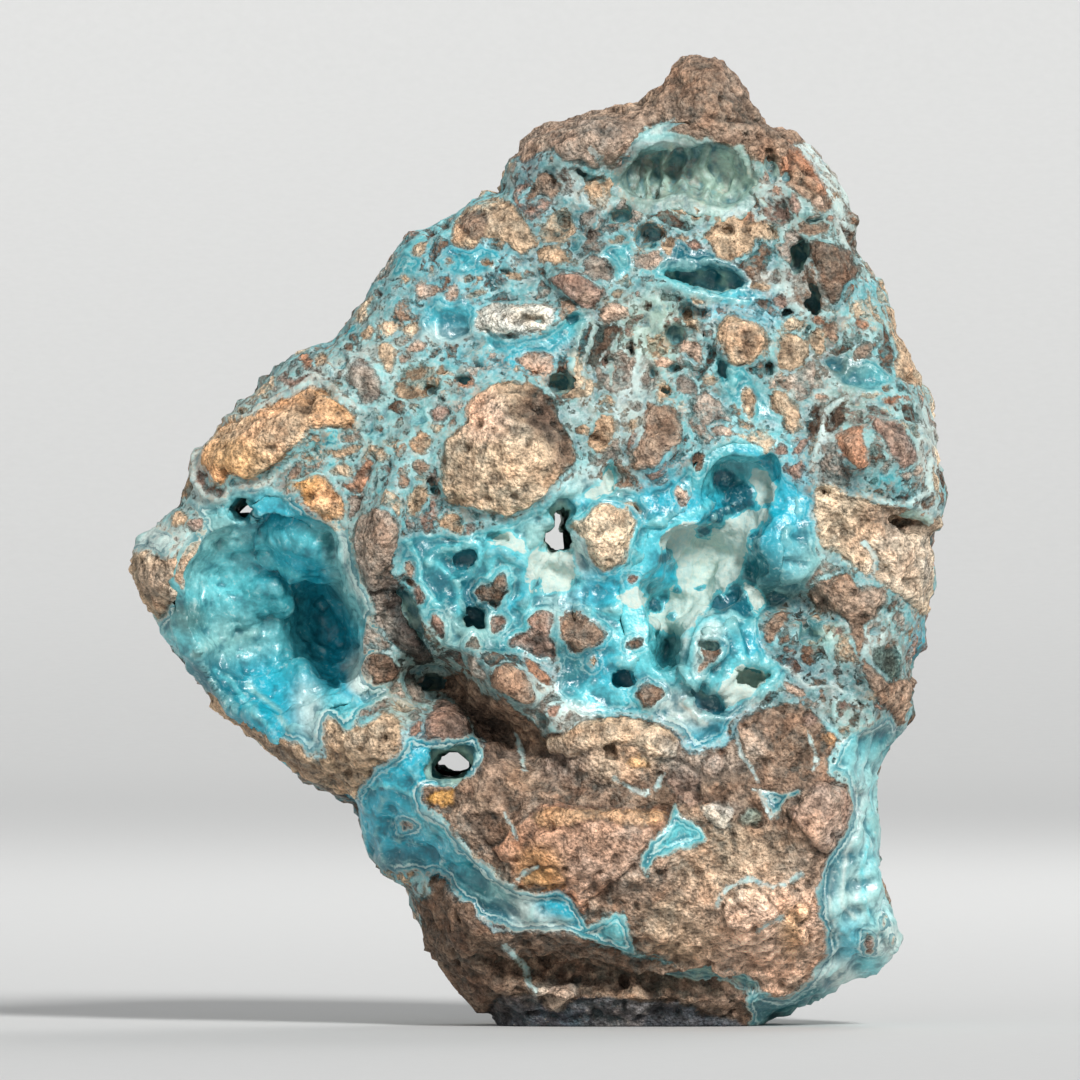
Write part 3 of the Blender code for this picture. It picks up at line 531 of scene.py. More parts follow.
# tint, rise: corners (x, z)
FRAGMENTS = shapes("""
brown 0.2: 13 110.8, 15 111, 17.5 110.4, 20.5 109.6, 24 109, 27.5 107.8, 29.4 106, 31 104.4,
  33.2 102.8, 35.5 101, 36.5 102.5, 35 106, 32 109.5, 28 112.5, 20 113.5, 14 112.5;
brown 0: -14.5 30.2, -14.6 29, -14.1 27.2, -12.5 26.3, -11.2 25.5, -10.8 24, -9 22.3, -7.5 21,
  -6 20.3, -5 19, -4 17.8, -2.5 17, -1 16.8, 1 17, 2.6 17.4, 3.9 16.7, 4.6 15.2, 5.3 13.4, 6 12.6,
  7 13, 8.3 14, 9.4 14.7, 10.4 14.2, 11 13, 11.3 11.5, 12 9.6, 14 8.8, 16.5 7.8, 20 7, 24 7, 26 6,
  28 4.2, 29.5 3.9, 31.5 4.2, 33 5.5, 34.3 7.5, 35.3 9, 35.2 12, 34.6 15, 34.2 17.5, 34.5 19.3,
  35.4 21, 37 22.8, 38.3 25, 38.7 27.5, 38.2 30.5, 37 31, 36 31.6, 35.6 33.5, 36.6 35.3, 37.4 36.2,
  36 37, 34.5 38.6, 33 39.8, 31 40.2, 28.8 40.1, 27 39.6, 25 39, 24.2 37.6, 24 36.3, 23 35,
  21.5 35, 20 34.3, 18.5 33.8, 17.8 34.5, 17.6 35.8, 16.6 37.3, 15 37.8, 12.8 38.6, 10 38.9,
  7 38.7, 5.2 38.2, 4.6 37.4, 3.5 36.8, 2 36.9, 0.6 36.3, -0.3 37.6, -1.8 38.9, -3.6 40, -5.5 41.4,
  -6.9 41.6, -8 42.8, -9.5 43.9, -12 44, -12.3 42, -10.8 40.8, -8.7 38.5, -8 36.6, -6.9 35.4,
  -7 33.4, -8.2 31.5, -10 30.7, -12.3 30.4;
umber 0: -15.8 15.8, -14 16.2, -13.9 17.5, -13.2 18.8, -12.2 18.9, -11.4 17.8, -10.6 16.3,
  -9.8 15.6, -8.5 15.4, -7.9 14, -6.8 13, -5.5 12.3, -3 12.2, 0 12.2, 2.5 12, 5 11.5, 8 10.3,
  9.8 9.3, 12 9.2, 14 8.8, 16.5 7.8, 20 7, 24 7, 26 5, 25.5 3, 26.3 1.5, 24 -5, -20 -5, -20 15;
tan 0.2: -41.5 41.2, -40.4 42.1, -38.8 42.1, -37.8 40.6, -36.4 39.4, -35 37.6, -34.2 36.6, -32 36,
  -30 35.3, -28.4 34, -26.6 33.4, -26.8 35.5, -26.3 38.8, -24.6 37.4, -23.2 37.9, -21.2 38.3,
  -19.4 39.5, -17.6 38.8, -16.9 36.8, -17.4 34.2, -18.4 33.2, -20.2 32.6, -21.2 31.4, -22.4 30,
  -22.6 28.4, -30 27, -44 36;
grey 0.4: -22.5 63.5, -20.5 64.8, -19 64.5, -17.6 63, -17.2 61, -18 58.5, -18.5 56.5, -16.8 54,
  -15.5 51, -14.5 48, -13 45.5, -15 45, -18 47.5, -20.5 50.2, -20.8 52.6, -22.2 55, -22.8 58,
  -23.2 61;
brown 0.3: -3 108.2, -1.6 107.3, -0.4 108.5, 1.5 108.8, 3 107.7, 5.5 107.4, 7.5 106.6, 8.8 106.9,
  9.6 108.2, 11.3 109.3, 13.2 110.4, 13.6 111.8, 15.5 112.5, 18 112.2, 20 111.8, 21 111, 23 110.4,
  25 110.3, 27 110.1, 28.5 109.5, 30 109.8, 31.5 109.8, 33 110.2, 36 111, 30 118, 24 126, 12 126,
  2 118, -6 112;
orange 0.5: -42.2 70, -42.2 71.6, -41.2 73, -39.7 75.2, -36 76.3, -32 78.2, -28.4 79.7, -26.8 79.4,
  -24.3 77.4, -22.8 76, -22.9 75, -24.2 74, -26 74.4, -28.4 74, -30 72.4, -32 70.6, -34 69,
  -36 67.9, -38.2 68.6, -39.8 67.3, -41 67.6, -41.4 69;
orange 0.3: -30.9 67.8, -29 68.3, -27.5 69, -26.4 68.6, -25.4 66.4, -24.4 65, -24.4 63.2, -26 62.8,
  -28.2 64.4, -29.6 66;
tan 0.4: -50.8 58.6, -49.2 59.3, -48.5 58.6, -47 58.4, -45.6 59.1, -44.2 60, -42.4 60.4,
  -41.6 60.8, -41 59.6, -39.8 59.2, -39.8 58.1, -40.5 57, -41.5 55.8, -42.7 54.5, -43.5 53.2,
  -44.8 52.6, -46 52.4, -46.6 51.2, -47.2 50.6, -49 51.5, -52 55.5, -52.5 58;
tan 0.5: -7 79.5, -5 80.6, -2 80.6, 0 79.2, 1.6 78, 2.6 75.5, 3.8 73, 4.4 70.8, 4 69.5, 2.2 67.7,
  0 65.8, -1.5 64.3, -4 63.1, -6 64, -8 64.4, -10 64.7, -11.7 65.4, -12.3 68, -11.9 70.5, -11.7 73,
  -10.4 74.6, -9.2 76, -8.4 78;
white 0.3: -8.3 87.4, -7.7 89, -6.4 89.8, -3 90, 0.8 89.8, 1.9 89, 1.9 87.8, 0.6 86.8, -1.4 86.1,
  -3.6 85.7, -5 86, -7 85.9, -8 86.6;
rose 0.4: 0.9 93.1, 2.2 94.2, 4.8 94.1, 6.2 92.8, 7.6 92, 8.2 91.1, 7.4 90.4, 6.4 89.2, 5.2 89.4,
  3 91;
umber 0.4: 33.8 97.6, 35 98, 36.8 97.5, 38.8 96.7, 39.1 95.5, 40.3 94.4, 39.4 93, 38 92, 37.5 90.6,
  36.2 89.8, 35 91, 34.3 92.4, 34.2 94, 33.7 95.6;
brown 0.3: 12.8 77.8, 14.4 77.6, 16.5 77.6, 17.6 76.6, 17.6 74.6, 17.2 72.8, 15.6 71, 14 69.6,
  11.6 68.9, 11 70, 11.4 71.8, 12.4 73.8, 12.8 75.8;
sand 0.5: 3.9 62.3, 5.4 63, 6.6 64.4, 8 65.3, 9.4 65.2, 11.6 65.6, 12.6 64.4, 12.3 62.8, 11.6 61,
  11.2 59.4, 10.8 57.8, 9.4 56.9, 8 56.5, 6.9 57.5, 6.3 59, 6.1 60.4, 4.8 61;
rust 0.3: 36.8 73.6, 38.4 74.6, 40 74.8, 40.4 73, 40.9 71, 40.9 69.2, 39.8 69, 38.4 70, 37.2 71.6;
rose 0.3: 40.4 76.1, 41.8 76, 43.4 75.3, 45 74.8, 46 73.4, 46.9 71, 46 69.8, 45 69, 44.4 70,
  43.2 71.4, 42.6 73, 41.4 74.4;
sand 0.5: 34.3 67.4, 36 67.8, 37.4 67, 40 66, 43 65.4, 46 64.6, 49.6 63.6, 51 62, 49 61, 49.5 56,
  49.4 51.8, 48 51, 46.4 52, 44.6 53.4, 42.8 54.8, 41.2 56, 39 57, 37 58.8, 35.4 59.8, 34.2 61.4,
  34 64;
brown 0.3: 33.2 54.2, 34.6 55.6, 36.6 56, 38.4 56.5, 39.6 55, 41.2 55.2, 43 54.4, 43.2 52.8,
  42 51.6, 40.4 50, 40.2 48, 39.4 46.4, 38.6 48.4, 38 50.4, 36.4 51.4, 34.4 52;
brown 0.5: 40 46.6, 41.4 45, 43.2 43.2, 45.8 43.6, 47.6 43.6, 48 39.6, 46.6 37, 45 37.4, 43.8 38.8,
  42.8 40.4, 41 42.2, 39.8 44;
brown 0.2: 27.6 50.2, 28.6 51, 30 51.9, 31.4 51.8, 30.6 50.6, 29.6 49.4, 28.7 47.6, 27.9 47.8;
rose 0.3: -1.6 50.8, -0.7 52, 0.6 52.2, 1.6 51.6, 1.4 50, 1.2 48.6, 2 47.4, 1.8 46.2, 0.4 46.2,
  -1 46.6, -3 47, -4 47.8, -3.6 48.3, -1.8 48.8, -1.2 49.8;
brown 0.4: 2.2 51.4, 3.4 52.2, 4.6 51.9, 6 50.7, 7.8 49.6, 8.5 48.8, 7.6 47.6, 5.8 47.4, 4.9 46.6,
  3.6 47.2, 2.6 48.8;
rust 0.3: -1.8 45.8, -0.6 45.8, 0.4 45, 1.3 44, 1.7 43.2, 1.2 42.4, 0.2 42.6, -0.6 43.4, -1.4 44.4;
brown 0.4: -5.9 44.4, -4.6 45.2, -3.2 45.2, -2.2 44.2, -1.4 43.2, -0.9 42, -0.2 41, -1 40.2,
  -2.8 40.4, -4.4 41.2, -5.8 42, -6.2 43.2;
umber 0.4: 11.7 41.3, 12.7 42.5, 13.6 42.8, 14.8 42.4, 15.4 41.6, 14.9 40.6, 14 39.7, 12.8 39.8;
umber 0.3: -22.3 45.2, -20.8 46.9, -18.8 46.8, -17.2 44.8, -17.6 43.6, -19.4 42.9, -20.7 42.5,
  -21.4 43.6;
umber 0.4: -8.2 54.6, -7 55.4, -5.9 55.4, -5 56.6, -4.2 56.9, -3.8 55.8, -3.9 54.4, -4.7 53,
  -5.4 52.2, -6 52.9, -7.3 53.2;
rose 0.3: -14.3 37, -14.3 38.5, -13.4 40, -11.8 40.6, -10.2 40.2, -8.8 38.5, -8.4 36.8, -9.5 35.9,
  -11.5 36.1, -13 35.9, -15.2 36.2;
rust 0.4: -3.5 20, -5.2 21.3, -6 22.3, -4 24, -2 26, 0 28, 2 28.2, 5 27.6, 8 27.4, 12 27.6,
  15.5 28, 15.8 26.5, 15 25.5, 14 24, 13 22.5, 12.2 21, 11 20, 9.4 18.5, 8.6 17, 6.5 16, 5.5 13.5,
  4.5 16, 2.6 17.4, 0 17, -2.5 17.5, -3.4 18.4;
orange 0.3: -1 26.6, 1 27.8, 5 27.3, 9 27.2, 13 27.5, 15.4 27.4, 15 25.8, 13 25, 10.5 25.2, 9 26,
  6 26.2, 3 25.4, 0.6 25.2;
orange 0.3: -2.4 18.4, -0.6 20, 1.6 20.2, 3.2 19, 3 17.9, 1 17.6, -1 17.6;
pink 0.4: 23.2 12.8, 22.9 14.5, 23.2 16.4, 24.8 17.7, 26.8 17.6, 28.2 16.6, 29.4 15, 29.8 13.8,
  28.5 12.8, 27.4 12.2, 25.5 12.2;
rose 0.6: 31 26, 31.2 27.3, 32.3 27.6, 33.3 29.2, 34.6 30.4, 36.5 30.6, 37.8 30, 38.4 28, 38.4 26,
  37.6 24.2, 36.4 22.9, 35.2 22, 34 22.6, 32.8 24.2;
tan 0.4: 5 38, 8 38.6, 12 38.4, 16 37.3, 17.3 35.8, 17 33.5, 14 34, 11.5 35.5, 9 35, 7 34.8, 4 34,
  1 34, 0.6 36, 3 36.6;
rust 0.3: 20 32.5, 21 33.8, 22.8 34.8, 23.3 34, 23 32.6, 21.5 31.2, 20.5 31.5;
rose 0.2: 14.5 33, 16.5 33.8, 18 33, 19.8 31.5, 19.5 29, 19.8 27.8, 18.3 27.3, 16.8 28.8,
  15.5 30.8;
ochre 0.2: -14 28.6, -13.3 29.4, -11.5 29.7, -10.4 29.6, -10.5 28.6, -11 27.6, -12.4 27.2,
  -13.6 27.6;
umber -0.3: -9.5 26.3, -8 26.6, -6 26.8, -4.4 26, -4 24, -4.8 22.8, -6.6 22.4, -7.3 23.6;
slate -0.3: -6 2.2, -5 3.6, -3.5 4.1, -1.5 4.1, -0.3 3.6, 0 2.6, 1.5 1.9, 2.8 2, 4 3.2, 5.5 3.7,
  9 3.5, 12 3.6, 14 3.2, 17 2.8, 19 2, 22 1.2, 25 0.8, 26 -2, -8 -2;
putty 0.2: -0.3 3.6, 0 2.6, 1.5 1.9, 2.8 2, 4 3.2, 5 4.2, 4.5 5.5, 3 5.6, 1 5.8, -0.5 4.6;
tan 0.3: -10.7 100.5, -9.8 101.8, -8.2 102.4, -6.5 103, -4.5 103.3, -3 103, -2.3 102, -2 100.8,
  -1.2 99.7, -0.5 98.3, 0 97.7, -1 96.9, -2.5 96, -3.6 96.4, -4.2 97.4, -6 98.2, -7.2 98.2,
  -8 97.4, -9 96.7, -10 97, -11 98, -11 99.4;
tan 0.2: -0.8 96.5, 0.5 97.5, 2 97, 3.3 96.4, 3.8 95.2, 2.2 94.9, 0 95.1;
grey 0.3: 5.2 95.6, 6.5 96.4, 8 95.5, 9.2 94.2, 8.3 93, 6.5 93, 5.3 94;
brown 0.1: -0.6 105.8, 0.4 106.6, 1.8 105.6, 3.2 104.6, 3 103.8, 1.4 103.2, 0 103.4, -1 102.6,
  -2 103.4;
pink 0.2: 12 95.5, 12.3 96.3, 14 96.6, 15.2 96, 15 94.8, 14 94, 12.5 94.5;
tan 0.2: 22 99.8, 23 101.3, 24 101.8, 26.5 100.5, 28 100, 29.4 99, 29.8 97.5, 28.5 97.8, 27 98,
  26.5 96.5, 25.3 95.8, 23.5 95.2, 22 96, 21 97.4, 20.5 98.3;
brown -0.2: 31.6 99.8, 33 100.3, 36 100.1, 35.8 99, 34 98.5, 32.4 98.9;
rust 0.3: 30.4 109.6, 32 109.3, 33.6 107.8, 34.8 106, 36 104.4, 35.6 103.6, 33.6 104.2, 32.6 105.4,
  33 106.4, 31.8 107.8, 30.6 108.2;
rose 0.2: 31 104.2, 31.8 103.9, 32.4 102.8, 32.1 101.2, 31.7 100.7, 31.3 101.5, 31 103;
rust 0.2: -23.8 66.2, -24.6 67.4, -23.4 68, -22.4 69.4, -21 70.6, -20.2 70, -21.4 68, -22 66.4;
umber 0.1: 16.2 86.6, 17.4 86.4, 18 85.6, 17 84.4, 16.2 84;
pink 0.3: 7.4 88.2, 8 89.4, 9.4 90, 10.8 89.4, 11 88.4, 9.6 87.8, 8 87.3;
tan 0.3: 6.2 74, 6.6 75.6, 7.8 76.6, 9.2 76, 9.2 74, 8.6 72.6, 7.2 71, 6.4 71.6, 5.4 72.6;
pink 0.2: -2.8 83.2, -1.4 84, 0.6 84.2, 1.8 83.4, 1.6 81.6, 0.2 80.9, -1.6 81.4;
rose 0.3: -14 76.6, -13.2 77.8, -11.6 77.8, -10.9 76.8, -11.6 75.4, -13 75.2;
tan 0.3: 28.6 78.6, 29.2 79.4, 30.4 79, 31.4 77.6, 32.4 76.2, 32.2 74.2, 31 73.5, 30 74.2, 30 75.6,
  28.8 76.8;
grey 0.2: -24.2 81.4, -23.4 82.6, -22 83, -20.8 82.4, -20 80.6, -19.6 79, -20.6 77.8, -22.4 77.9,
  -23 79.4, -24.4 80.2;
tan 0.2: -20.3 84.4, -19.8 85.4, -18.6 85.4, -18 84, -18.2 82.2, -19 81.4, -19.8 82.4;
rose 0.1: -32.8 80.6, -32 81.8, -30.4 81, -28.6 81.2, -27.6 80.8, -29 80.2, -31 79.8;
brown 0.2: 38.6 84, 39.6 84.9, 41 85.5, 41.9 84.8, 41.2 83.4, 39.4 83;
tan 0.1: 43.2 90, 43.6 87, 44.6 84, 43.8 82.4, 44 80.8, 45.4 80.4, 47 80, 49 80, 46 90;
pink 0.2: 16.6 66.6, 17 67.6, 17.9 67, 18.5 65.6, 18.2 64.6, 17.2 64.4""")
print(len(FRAGMENTS), "large fragments")

# %% [markdown]
# ## Small fragments
# The smaller ones are ovals with a slightly uneven edge, because no more than that
# can be told apart at their size. They go into the same list, after the large ones.

# %% Small fragments
OVAL_RISE = 0.25
OVAL_CORNERS = 12
# x, z, full width, full height, turn, tint
OVALS = rows("""
25 85.3 6.4 6.2 -30 tan, 31.3 83.8 4.4 5 -40 tan, 26 77.6 1.9 4 8 sand, 23 74.4 3.6 1.6 -8 pink,
32.2 69.2 2.2 2 0 rose, -43.2 62.4 2.4 2.2 0 rose, -45.2 63.4 2.4 2 20 tan,
-29.4 83.2 1.4 2.6 15 rust, -27.4 83.2 1.8 2.2 0 tan, -24 84.6 1.4 1 0 brown,
-21.6 86.3 2 2.2 20 tan, -22 89.4 3.8 1.4 52 sand, -24.6 69.2 2.8 1.8 10 sand,
-24.2 71.6 5 1.3 16 tan, -28.3 71 1.4 0.8 10 orange, -26.1 71.6 1.5 0.7 0 orange,
-8.2 100 3.6 3.4 0 brown, -14.7 72.8 3 2.8 30 tan, -15.2 65.6 2.5 4.2 -8 tan,
-14.8 69.6 2.4 1.9 0 brown, -11.2 62.8 3 2.6 0 tan, -9 62.2 1.5 1.6 0 rose,
-12.5 49.9 1.6 3.6 22 rose, -15 53.9 1.5 2.5 12 rose, -16.3 57 1.6 1.9 10 pink,
-16.4 55.6 2.2 1 -35 umber, -5.2 50.4 1.9 2.4 0 rose, -8.2 47.7 2.2 1.2 35 umber,
12 47.6 2.6 1.6 15 umber, 11.7 55.4 1.2 1 0 rose, 6.6 45.4 1.2 1.4 0 tan, 1.9 39.6 2 1.6 20 rose,
21.3 46.9 2.6 2.6 -25 umber, 20.2 45 2 0.9 40 pink, 31.3 42 3 1.5 -32 pink,
34.8 41.3 1 2.4 10 pink, 30.8 46.8 2.2 1 0 rose, 26.2 38.5 2.8 1.6 25 umber,
33.4 38.3 1.8 1.6 0 rose, 40.9 38.3 1.4 1 35 rose, 35.9 35.9 1.9 1.6 0 orange,
12 33.2 2.4 1.9 -20 ochre, 32.6 14.4 2 2.2 0 ochre, 32.9 11.4 1.7 2.8 0 ochre,
22.2 26.4 4.4 3 -25 white, 26.4 25.9 2.6 2.2 0 sage, 40.9 10.4 1.1 2.4 12 rose,
43 13.1 0.9 1.2 -30 rose, 44.8 10.8 1.6 1.2 -35 rust, 41.4 29.8 1 1.4 0 brown,
-16.8 25.2 1.4 0.9 20 pink, -17.4 18.6 4.6 1.2 12 tan, 9.5 98 2.4 1.2 10 tan,
-6.9 94.8 1.5 0.8 -15 tan, -13.4 94.2 0.8 1.6 0 tan, -11.3 95.3 1.1 0.9 0 tan,
-15.2 96.6 2.6 1.8 30 tan, -16.7 93 1.2 1.8 30 tan, -3 93.3 2.8 1.2 -10 tan,
-14.2 91.4 2.6 1.8 0 pink, -11 91.2 2.4 1.6 30 pink, -7.6 91 2.6 1 10 sand, -9 93 1.6 0.9 30 tan,
-16.2 87 2 1.8 0 sand, -15.6 84.6 3 1.8 20 pink, -13 83.8 2 1 35 brown, -12.2 81.6 1.6 1.6 0 tan,
-9.2 80.4 2.6 1.6 -15 rust, -18.6 87 2 2.2 30 sand, -16.9 83.2 1.8 1.4 0 pink,
5 81 2.4 5.2 18 sand, 8.6 82.9 1.2 2.2 -15 rose, 4 78.9 3 2 10 tan, 5 74.4 1.8 1.4 0 tan,
9.6 91.2 1.6 1.8 0 tan, 25.6 101.2 2.8 1.6 -35 rust, 19.6 102 2.4 2.8 -20 tan,
17.4 101.8 2 1.4 -20 tan, 27.6 91.8 3.2 1.2 0 tan, 29.4 104 1.2 1.6 30 rust,
30.4 107.4 1.2 2.8 15 rust, 36.2 100.8 1.5 1 15 rose, 34.6 102.9 1.8 1.6 0 pink,
19.4 97.6 1.6 1.8 0 rose, 15.8 97.2 1.6 2.6 -20 tan, 35 87.6 2.2 1.3 -12 rust,
36.6 86.6 2.2 3 0 brown, 34.8 85 2 3.6 0 tan, 31.8 87.3 3 1.8 10 sand, 30 90.4 1.8 1.8 0 rose,
40.4 87.3 1.8 1.2 -15 rust, 44.2 78.2 4.4 0.9 4 rust, 38.6 76.6 0.8 1 0 rose,
32.4 72.2 2.4 1.4 45 rose, 30 71.9 1.6 1.4 0 rose, 35.2 78.5 1.8 1 -20 pink,
41.4 67.8 1.2 0.7 20 moss, 19.6 70.4 1.8 2.4 0 umber, 21.4 80.6 1.8 1.2 0 tan,
22.8 88.9 0.9 0.8 0 rust, 19.8 90.6 2.8 1.4 -25 sand, 18.8 88 1.6 3 30 tan, 19 84 2.4 3.4 40 pink,
15.4 82.8 2.6 1.6 0 pink, 18.4 80 2.6 2.8 0 grey, 15.6 79.2 2 1.6 0 tan, 43.2 45.8 3.4 4.6 30 moss,
43.6 47.6 1.6 1.4 0 brown, 37.2 44.2 1.8 1 0 rose, 42.4 40.2 1.6 0.8 -30 rose""")


def oval(form):
    """Outline of one small fragment, a little uneven."""
    centre_x, centre_z, wide, high, angle, _ = form
    outline = []
    for corner in range(OVAL_CORNERS):
        turn = 2.0 * math.pi * corner / OVAL_CORNERS
        uneven = 1.0 + 0.12 * math.sin(3.0 * turn + 7.0 * centre_x)
        x, z = turned(0.5 * wide * uneven * math.cos(turn),
                      0.5 * high * uneven * math.sin(turn), -angle)
        outline.append((centre_x + x, centre_z + z))
    return outline


for form in OVALS:
    FRAGMENTS.append((form[-1], OVAL_RISE, oval(form)))
print(len(FRAGMENTS), "fragments have a shape of their own")

# %% [markdown]
# ## Where there is mineral alone
# Some places have no rock in them: the margins of the hollows, a thick vein low on
# the left, another down the lower right and a three-cornered pocket in the rusty
# mass. No random fragment may grow there. Thin veins run through the rock as lines.

# %% Places of pure mineral, and thin veins
# corners (x, z); the first two are pockets that also cut into the large fragments
MINERAL = shapes("""
16.4 28, 16.9 27, 18 26, 19.4 25.2, 20.4 24.4, 20.3 23.5, 19.2 22.8, 17.2 22.6, 15.3 21.7, 14 20.9,
  13.5 20, 13.2 19, 12.8 20, 12.3 20.7, 12.8 21.8, 13.8 23.3, 15 24.6, 15.8 25.6, 16 26.8;
26.2 29.7, 27.6 28.8, 28.8 27.2, 29.4 26, 30 27, 31 28.3, 32.2 29, 32.4 29.6, 30 29.1, 27.6 29.6;
-44.5 65.5, -42 65, -40 66, -38 67, -34 67, -31 66.5, -29.8 65, -28.4 63.6, -26 62.2, -23.6 61,
  -23.2 58, -22.3 55, -21 52, -21.5 49, -22.3 46, -21.5 43, -19 42, -20 40.5, -24 38, -26.8 35.5,
  -28.5 34.2, -32 36.2, -35 37.8, -37 40.2, -38.5 42.4, -41 42.5, -43.5 45, -47.5 49, -46.5 52,
  -43.5 53, -41 56, -39.5 58, -40.5 60.8, -42 62, -42.5 64;
-17 60.5, -14.5 61, -12 61, -8 61.8, -4 62.4, 0 64.5, 3 67.6, 6 68.5, 9 67.4, 12.5 66.5, 16 68,
  18.4 69.5, 22 72, 25 73.5, 28 71.5, 31 68, 33.5 66, 33.8 62, 35 58, 33 55.5, 31 53, 27.5 51.6,
  27.2 48, 28.5 45.5, 31 44.6, 29.5 42.5, 27 40.6, 24 39, 22.6 36, 19 34.2, 17.8 36.5, 14 38.9,
  10 39.4, 5 38.9, 3.4 40.4, 2 42, 2.4 44.5, 2.4 46.2, 1 45.6, -2.4 46.2, -6 46.8, -9 46.4, -12 47,
  -14 50, -16 53.4, -17.4 57;
-23 29, -21 31.6, -18 33.3, -16.2 36.4, -13 35.7, -8 36.1, -6.8 34, -8.2 31.3, -11 30.3, -14.9 30,
  -14.3 27, -11 25, -10.5 23.5, -8 21, -5 18.7, -3.4 17.2, -1 16.6, 1 16.8, 2.6 17.2, 4 16.2,
  5.3 13, 7 12.7, 9.5 14.5, 10.9 12.5, 12 9.4, 9 9.6, 5 11.7, 0 12.4, -3 12.4, -7.5 14, -9.5 15.8,
  -11.5 18.5, -13 19.5, -14.6 18.6, -16 19.5, -19.6 19.6, -22 22;
38 32, 38.9 28, 38.6 25, 37.2 22.6, 35.5 20.8, 34.7 19, 34.8 16, 35.4 12, 35.5 9, 34.6 7, 33.4 5.4,
  31 3.6, 29 3.6, 26.4 4.2, 25.7 2.4, 26.6 -2, 33 1, 38 3.5, 46.6 9, 46.6 12, 43.8 18, 42.5 22,
  43.2 27, 43 31.6, 45 35, 46 37.2, 43.2 38.8, 40 37.4, 37.4 35.2, 36 32;
-51.5 59.3, -51.5 61.8, -48 62.4, -46.4 61.8, -45.5 60.4, -47 59, -48.7 58.8, -49.4 59.6;
-15.2 88, -13.6 90.6, -11 91.6, -8.6 90.4, -7.8 88.4, -8.6 86.4, -11 85.2, -13.6 85.6;
-7.8 86, -4 85.4, 0 86, 2.6 87.2, 5 89.4, 6.2 88, 4.4 85.4, 1.4 83.8, -2.6 83.4, -6 84.4;
12.4 96.5, 16 98.4, 20.4 97, 24.6 94.6, 27.4 91.4, 26.2 89.4, 22.6 90.2, 19.4 91.2, 15.6 92.6,
  12.6 93.8;
-12.8 95.6, -10.6 97.6, -7.6 97.2, -5 95.8, -6.2 93.8, -9.6 93.4, -12 94;
6.4 95, 8.4 97.4, 11.4 97.2, 11.8 94.6, 9.4 93, 7 93.4;
22.2 82.4, 24.4 83.8, 26 81, 27.6 78.6, 29.4 76.2, 27.2 75, 24.6 77, 22.8 79.4;
35.4 82.6, 38 84.2, 41.6 83.2, 43.6 80.6, 41.2 78.8, 37.6 79.6;
-18.6 94, -17 97.4, -14.8 98.8, -14 96.4, -15.8 93.4""")
POCKETS = MINERAL[:2]
# half width: points along the vein
VEINS = shapes("""
0.2: 22.2 15, 22.5 16.4, 23.2 17.6, 24.4 18.3, 26 19, 27.4 18.2, 29 17.8, 30.8 18.2, 32.2 19.4;
0.14: 27.3 12.2, 28.5 12.9, 30 14;
0.3: -4.2 10.3, -3 8.6, -1.9 7, -1.1 5.2, -0.5 4.2;
0.16: -2.7 36.5, -2 34.6, -1.8 32.4;
0.18: -4.2 26.8, -3.4 25.2, -2.7 23.8;
0.22: -2.6 18.4, -1.6 19.3, -0.2 20;
0.18: 24.2 36.5, 24.8 34.2, 26 32.2, 27 30.4;
0.14: 33.6 36.6, 33.8 34.2, 34.4 31.8;
0.28: 27.4 28.8, 28.2 27.4, 28.9 26.2;
0.3: 40.2 60.4, 41.8 58.2, 41.4 56.2;
0.16: 15.8 31.4, 14.4 29.6, 12.6 29.2, 10.4 30.2, 9.2 31.4;
0.2: 13.6 108.6, 14.2 110.4, 14.4 112.4, 17 113;
0.16: 6.6 109.4, 7.4 108.2, 7.9 107;
0.3: -2.4 80.6, -4.6 82, -7.6 81.2;
0.22: 35.9 44.4, 33.8 43.8, 32.4 44, 30.6 43.8""")
print(len(MINERAL), "places of pure mineral and", len(VEINS), "thin veins")
